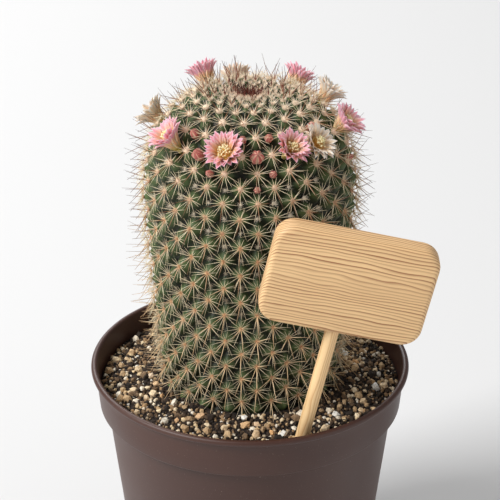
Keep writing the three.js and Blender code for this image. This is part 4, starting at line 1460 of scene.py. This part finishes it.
def boolean_cut(piece, cutter_mesh):
    """Cuts a closed mesh out of an object."""
    cutter = keep(cutter_mesh.name, cutter_mesh)
    modifier = piece.modifiers.new("cut", "BOOLEAN")
    modifier.object = cutter
    modifier.operation = "DIFFERENCE"
    mesh = evaluated_mesh(piece)
    piece.modifiers.clear()
    piece.data = mesh
    bpy.data.objects.remove(cutter)


pot_mesh = outward_faces(new_mesh("pot_shell", *lathe(pot_outline, POT_SIDES)))
pot = keep("pot_shell", pot_mesh, plastic_material())
for hole in range(DRAIN_HOLES):
    hole_centre = around(hole * 2 * math.pi / DRAIN_HOLES, DRAIN_RING, 0.0)
    boolean_cut(pot, plug("drain", DRAIN_RADIUS, low=-1, high=3, sides=32, centre=hole_centre))
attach(pot, "root")
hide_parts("pot")
print("pot faces:", len(pot.data.polygons))

# %% [markdown]
# ## Gritty soil
#
# The soil is mostly grit: cream, white, tan and brown grains from 1 to 4 mm over dark peat. A bumpy
# dark bed fills the pot. Grains are scattered over it in three sizes, each a seeded random spread of
# points with one of a few lumpy pebbles on every point, turned and scaled at random. The smaller the
# grains, the more of them are as dark as the peat.

# %% The soil's bumpy top
SOIL_BESIDE_WALL = -9.2  # below the rim
SOIL_WALL_RADIUS = 56.3
SLOPE_END = 57  # radius at which the heap's slope would reach the level beside the wall


def soil_height(radius):
    """Height of the heaped soil before its lumps."""
    share = (np.asarray(radius, float) - ROOT_RADIUS) / (SLOPE_END - ROOT_RADIUS)
    return RIM + SOIL_BESIDE_PLANT + (SOIL_BESIDE_WALL - SOIL_BESIDE_PLANT) * np.clip(share, 0, 1)


def lumps(x, y):
    """A smooth bumpy surface from a few crossed waves, in millimetres."""
    return (
        0.45 * np.sin(0.31 * x + 0.9 * np.sin(0.17 * y)) * np.cos(0.27 * y + 0.5)
        + 0.3 * np.sin(0.71 * y - 0.4 * x + 1.3)
        + 0.2 * np.cos(1.3 * x + 0.8 * np.sin(0.9 * y)) * np.sin(1.1 * y)
    )


def soil_rings(radii, sides):
    """Points of rings on the soil's bumpy top."""
    radii = np.asarray(radii)[:, None]
    points = around(full_turn(sides), radii, soil_height(radii)).reshape(-1, 3)
    points[:, 2] += lumps(points[:, 0], points[:, 1])
    return points


# %% Peat and grit colours
def soil_material(name, *stops):
    """Mineral grains or peat: a tint ramp by grain, mottled finely."""
    material, tree, shader = new_material(name, 0.9)
    base = ramp(tree, stretch(tree, attribute(tree, "tint"), -1, 1), *stops)
    mottle = noise(tree, object_place(tree), 1800, 3)
    shaded = scale_by(tree, base, stretch(tree, mottle, 0.3, 0.72, 0.62, 1.16))
    paint(tree, shader, shaded, bump(tree, mottle, 0.5, 0.2))
    return material


peat_paint = soil_material("dark_peat", (0, (27, 19, 14)), (1, (47, 35, 27)))
coarse_paint = soil_material(
    "mineral_grit", (0.0, (34, 27, 22)), (0.2, (60, 47, 37)), (0.34, (146, 118, 88)),
    (0.52, (220, 186, 142)), (0.7, (250, 226, 188)), (0.78, (222, 166, 104)), (0.88, (255, 244, 222)),
    (1.0, (255, 252, 244)),
)
medium_paint = soil_material(
    "brown_grit", (0.0, (32, 24, 18)), (0.3, (66, 51, 38)), (0.5, (122, 96, 70)),
    (0.68, (190, 154, 112)), (0.82, (244, 216, 170)), (1.0, (255, 246, 228)),
)
fine_paint = soil_material(
    "fine_grit", (0.0, (24, 18, 14)), (0.45, (48, 37, 29)), (0.68, (88, 69, 52)),
    (0.84, (168, 138, 104)), (0.94, (240, 218, 184)), (1.0, (255, 250, 240)),
)
print("soil paints:", peat_paint.name, coarse_paint.name, medium_paint.name, fine_paint.name)

# %% The peat bed
BED_SIDES, BED_RINGS = 160, 30
BED_FLOOR = 2.1
BED_WALL = [(41.8, BED_FLOOR), (52.3, COLLAR_FOOT - 1.8), (55.2, COLLAR_FOOT - 0.6)]
HOLE_RADIUS = ROOT_RADIUS - 0.6
HOLE_FLOOR = RIM + SOIL_BESIDE_PLANT - 14

bed_turn = full_turn(BED_SIDES)
bed_rings = [around(bed_turn, radius, height) for radius, height in BED_WALL]
bed_rings.append(soil_rings(np.linspace(SOIL_WALL_RADIUS, HOLE_RADIUS, BED_RINGS), BED_SIDES))
bed_rings.append(around(bed_turn, HOLE_RADIUS, HOLE_FLOOR))
bed_points, bed_faces = capped_grid(np.vstack(bed_rings), BED_SIDES, BED_FLOOR, HOLE_FLOOR)
bed_mesh = outward_faces(new_mesh("soil_bed", bed_points, bed_faces, tint=0 * bed_points[:, 0]))
soil_bed = keep("soil_bed", bed_mesh, peat_paint)
stick_hole = plug("stick_hole", radius=2.8, low=-20, high=12, sides=32)
move(stick_hole, sign_frame)
boolean_cut(soil_bed, stick_hole)
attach(soil_bed, "root")
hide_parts("soil")
print("peat bed faces:", len(soil_bed.data.polygons))

# %% The scatter tree
scatter_inputs = {
    "Pebbles": "NodeSocketCollection",
    "Apart": 0.001,
    "Density": 100000.0,
    "Size": 1.0,
    "Size spread": 0.3,
    "Lift": 0.0,
    "Seed": 1,
}


def make_scatter_tree():
    tree, given, result = new_growth("grit_scatter", scatter_inputs)
    seed = given["Seed"]
    inputs = {
        "Mesh": given["Geometry"], "Distance Min": given["Apart"], "Density Max": given["Density"],
        "Seed": seed,
    }  # fmt: skip
    spread = first_output(tree, "GeometryNodeDistributePointsOnFaces", inputs, distribute_method="POISSON")
    lift = combine(tree, z=given["Lift"])
    raised = first_output(tree, "GeometryNodeSetPosition", {"Geometry": spread, "Offset": lift})
    tinted = store(tree, raised, "tint", scattered(tree, seed, 2))
    inputs = {"Collection": given["Pebbles"], "Separate Children": True, "Reset Children": True}
    kinds = first_output(tree, "GeometryNodeCollectionInfo", inputs)
    x, y, z = (scattered(tree, seed, draw_number, math.pi) for draw_number in (5, 9, 14))
    rotation = first_output(tree, "FunctionNodeEulerToRotation", {0: combine(tree, x=x, y=y, z=z)})
    uneven = scattered(tree, seed, 19, given["Size spread"], 1.0)
    scale = times(tree, given["Size"], uneven)
    set_out(tree, result, given["Material"], tinted, kinds, rotation, scale, pick=True)
    return tree


scatter_tree = make_scatter_tree()


# %% Pebbles
def pebble_collection(name, kinds):
    """Lumpy pebbles of 1 mm across, kept apart from the scene."""
    group = bpy.data.collections.new(name)
    for kind in range(kinds):
        shape = bmesh.new()
        bmesh.ops.create_icosphere(shape, subdivisions=1, radius=0.5 * MM)
        stretched = draw.uniform(0.65, 1.15, 3)
        for vertex in shape.verts:
            vertex.co = Vector(np.array(vertex.co) * stretched * draw.uniform(0.68, 1.16))
        mesh = bpy.data.meshes.new(f"{name}_{kind}")
        shape.to_mesh(mesh)
        shape.free()
        group.objects.link(bpy.data.objects.new(f"{name}_{kind}", mesh))
    return group


coarse_kinds = pebble_collection("coarse", 9)
fine_kinds = pebble_collection("fine", 5)

# %% Grains of three sizes
TOP_SIDES, TOP_RINGS = 96, 18


def scatter(name, inner, outer, apart, lift, **values):
    """Grains on the soil's top between two radii; the lengths are in millimetres."""
    points = soil_rings(np.linspace(outer, inner, TOP_RINGS), TOP_SIDES)
    top = new_mesh("soil_top", points, grid_faces(TOP_RINGS, TOP_SIDES))
    return grow(name, top, scatter_tree, apart=apart * MM, lift=lift * MM, **values)


grains = [
    scatter(
        "coarse_grains", 35.6, 54.2, apart=2.9, lift=0.5, density=60000.0, size=3.4, size_spread=0.4,
        seed=4, pebbles=coarse_kinds, material=coarse_paint,
    ),
    scatter(
        "medium_grains", 34.0, 55.4, apart=1.3, lift=0.3, density=420000.0, size=2.0, size_spread=0.4,
        seed=7, pebbles=fine_kinds, material=medium_paint,
    ),
    scatter(
        "small_grains", 33.4, 55.9, apart=0.75, lift=0.2, density=1200000.0, size=1.25, size_spread=0.45,
        seed=9, pebbles=fine_kinds, material=fine_paint,
    ),
]
for grain in grains:
    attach(grain, "root")
    print(grain.name, len(grain.data.polygons), "faces")
for kinds in (coarse_kinds, fine_kinds):
    for pebble in list(kinds.objects):
        bpy.data.objects.remove(pebble)
    bpy.data.collections.remove(kinds)

# %% [markdown]
# ## The pine label
#
# The label is a blank slab of pine with rounded corners and edges, on a round dowel that is pointed at
# its buried end. Softwood is built of growth layers: broad pale ones and thin tan ones, a millimetre or
# two apart. They are sheets through the whole board, so one shader group works them out from the place
# in the board, and the lines run on over the rounded edges as they do in real wood.


# %% The wood shader group
LAYER_SLOPE = 1.5  # how much a layer falls for each millimetre through the board
LAYER_WIDENING = -0.0048  # the layers grow wider away from the board's middle line
LAYER_WANDER = 5.0  # millimetres


def make_wood_paint():
    inputs = {
        "Place": "NodeSocketVector", "Spacing": 1.5, "Early": "NodeSocketColor", "Late": "NodeSocketColor",
    }  # fmt: skip
    outputs = {"Colour": "NodeSocketColor", "Height": "NodeSocketFloat"}
    tree, given, result = new_group("wood_paint", "ShaderNodeTree", inputs, outputs)

    # depth in the trunk, and the growth layer that lies there
    wander = noise(tree, scaled(tree, given["Place"], (0.028, 0.12, 0.12)), 1.0, 2)
    parts = add_node(tree, "ShaderNodeSeparateXYZ", {0: given["Place"]}).outputs
    depth = calculate(tree, "MULTIPLY_ADD", parts["Y"], LAYER_SLOPE, parts["Z"])
    widening = times(tree, times(tree, depth, depth), LAYER_WIDENING)
    layer = calculate(tree, "MULTIPLY_ADD", wander, LAYER_WANDER, plus(tree, depth, widening))
    layer = calculate(tree, "DIVIDE", layer, given["Spacing"])

    # late wood darkens slowly and ends at once, more in some layers than in others
    within = calculate(tree, "FRACT", layer)
    rise = stretch(tree, within, 0.35, 0.86)
    fall = stretch(tree, within, 0.88, 0.99, 1, 0)
    late = times(tree, calculate(tree, "POWER", rise, 1.4), fall)
    number = {"W": calculate(tree, "FLOOR", layer)}
    which = add_node(tree, "ShaderNodeTexWhiteNoise", number, noise_dimensions="1D").outputs["Value"]
    late = times(tree, late, stretch(tree, which, 0, 1, 0.45, 1.0))

    fibre = noise(tree, scaled(tree, given["Place"], (0.22, 5.5, 5.5)), 1.0, 3)
    early = blend_colour(tree, times(tree, wander, 0.3), given["Early"], given["Late"])
    base = blend_colour(tree, late, early, given["Late"])
    streaked = scale_by(tree, base, stretch(tree, fibre, 0.25, 0.75, 0.93, 1.05))
    height = calculate(tree, "MULTIPLY_ADD", late, 0.5, times(tree, fibre, 0.5))
    tree.links.new(streaked, result["Colour"])
    tree.links.new(height, result["Height"])
    return tree


wood_paint = make_wood_paint()


def wood_material(name, spacing, early, late, roughness):
    material, tree, shader = new_material(name, roughness)
    place = attribute(tree, "wood_place", "Vector")
    inputs = {"Place": place, "Spacing": spacing, "Early": early, "Late": late}
    group = add_node(tree, "ShaderNodeGroup", inputs, node_tree=wood_paint).outputs
    paint(tree, shader, group["Colour"], bump(tree, group["Height"], 0.2, 0.15))
    return material


print("wood paint nodes:", len(wood_paint.nodes))


# %% A rounded slab
def rounded_rectangle(width, height, radius, steps):
    """Corners of a rounded rectangle round the origin, counter-clockwise."""
    points = []
    for quarter, (x, z) in enumerate([(1, 1), (-1, 1), (-1, -1), (1, -1)]):
        centre = (x * (width / 2 - radius), z * (height / 2 - radius))
        points += arc(centre, radius, quarter * 90, quarter * 90 + 90, steps)
    return np.array(points)


def slab_mesh(name, width, height, thickness, corner, edge, steps=8, edge_steps=6):
    """A rounded slab in the XZ plane, with its front at -Y."""
    rings = []
    for angle in np.radians(np.linspace(0, 90, edge_steps)):
        rings.append((edge * (1 - math.sin(angle)), -thickness / 2 + edge * (1 - math.cos(angle))))
    rings += [(inset, -y) for inset, y in reversed(rings)]
    points = []
    for inset, y in rings:
        flat = rounded_rectangle(width - 2 * inset, height - 2 * inset, corner - inset, steps)
        points.append(np.stack([flat[:, 0], np.full(len(flat), y), flat[:, 1]], axis=1))
    count = 4 * steps
    faces = grid_faces(len(rings), count)
    faces.append(tuple(range(count)))
    faces.append(tuple((len(rings) - 1) * count + side for side in reversed(range(count))))
    return outward_faces(new_mesh(name, np.vstack(points), faces))


# %% The board
SOCKET_DEPTH = 12
SOCKET_RADIUS = 2.65
board_foot = -BOARD["height"] / 2
board_mesh = slab_mesh(
    "label_board", BOARD["width"], BOARD["height"], BOARD["thickness"], BOARD["corner"], BOARD["edge"]
)
pine_paint = wood_material("pale_pine", 1.42, (255, 216, 160), (142, 72, 28), 0.55)
board = keep("label_board", board_mesh, pine_paint)
socket = plug(
    "socket", SOCKET_RADIUS, low=board_foot - 1, high=board_foot + SOCKET_DEPTH, sides=48,
    centre=(-BOARD["shift"], 0, 0),
)
boolean_cut(board, socket)

# the wood's layers are read from the board's own place, kept before it is moved
board_place = np.zeros(len(board.data.vertices) * 3, np.float32)
board.data.vertices.foreach_get("co", board_place)
wood_place = board.data.attributes.new("wood_place", "FLOAT_VECTOR", "POINT")
wood_place.data.foreach_set("vector", board_place / MM)
move(board.data, Matrix.Translation((BOARD["shift"], 0, BOARD["bottom"] - board_foot)))
move(board.data, sign_frame)
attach(board, "root")
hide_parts("sign_board")
print("board faces:", len(board.data.polygons))

# %% The dowel
STICK_RADIUS = 2.5
STICK_TOP = BOARD["bottom"] + SOCKET_DEPTH - 0.6
STICK_CUT = (40, 7, 3)  # where in the wood the dowel was cut, with its length along the grain
stick_outline = [(0, -19), (0.35, -18.9), (1.5, -14), (2.35, -9.6), (STICK_RADIUS, -8.6)]
stick_outline += [(STICK_RADIUS, height) for height in np.linspace(0, STICK_TOP - 6, 8)]
stick_outline += [(STICK_RADIUS, STICK_TOP - 0.4), (2.1, STICK_TOP), (0, STICK_TOP)]
stick_points, stick_faces = lathe(stick_outline, 40)
stick_place = stick_points[:, [2, 1, 0]] + STICK_CUT
stick_mesh = outward_faces(new_mesh("label_stick", stick_points, stick_faces, wood_place=stick_place))
move(stick_mesh, sign_frame)
dowel_paint = wood_material("dowel_wood", 1.3, (252, 216, 162), (208, 158, 102), 0.6)
stick = keep("label_stick", stick_mesh, dowel_paint)
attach(stick, "root")
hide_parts("sign_stick")
print("dowel:", round(STICK_TOP - stick_outline[0][1], 1), "mm long")
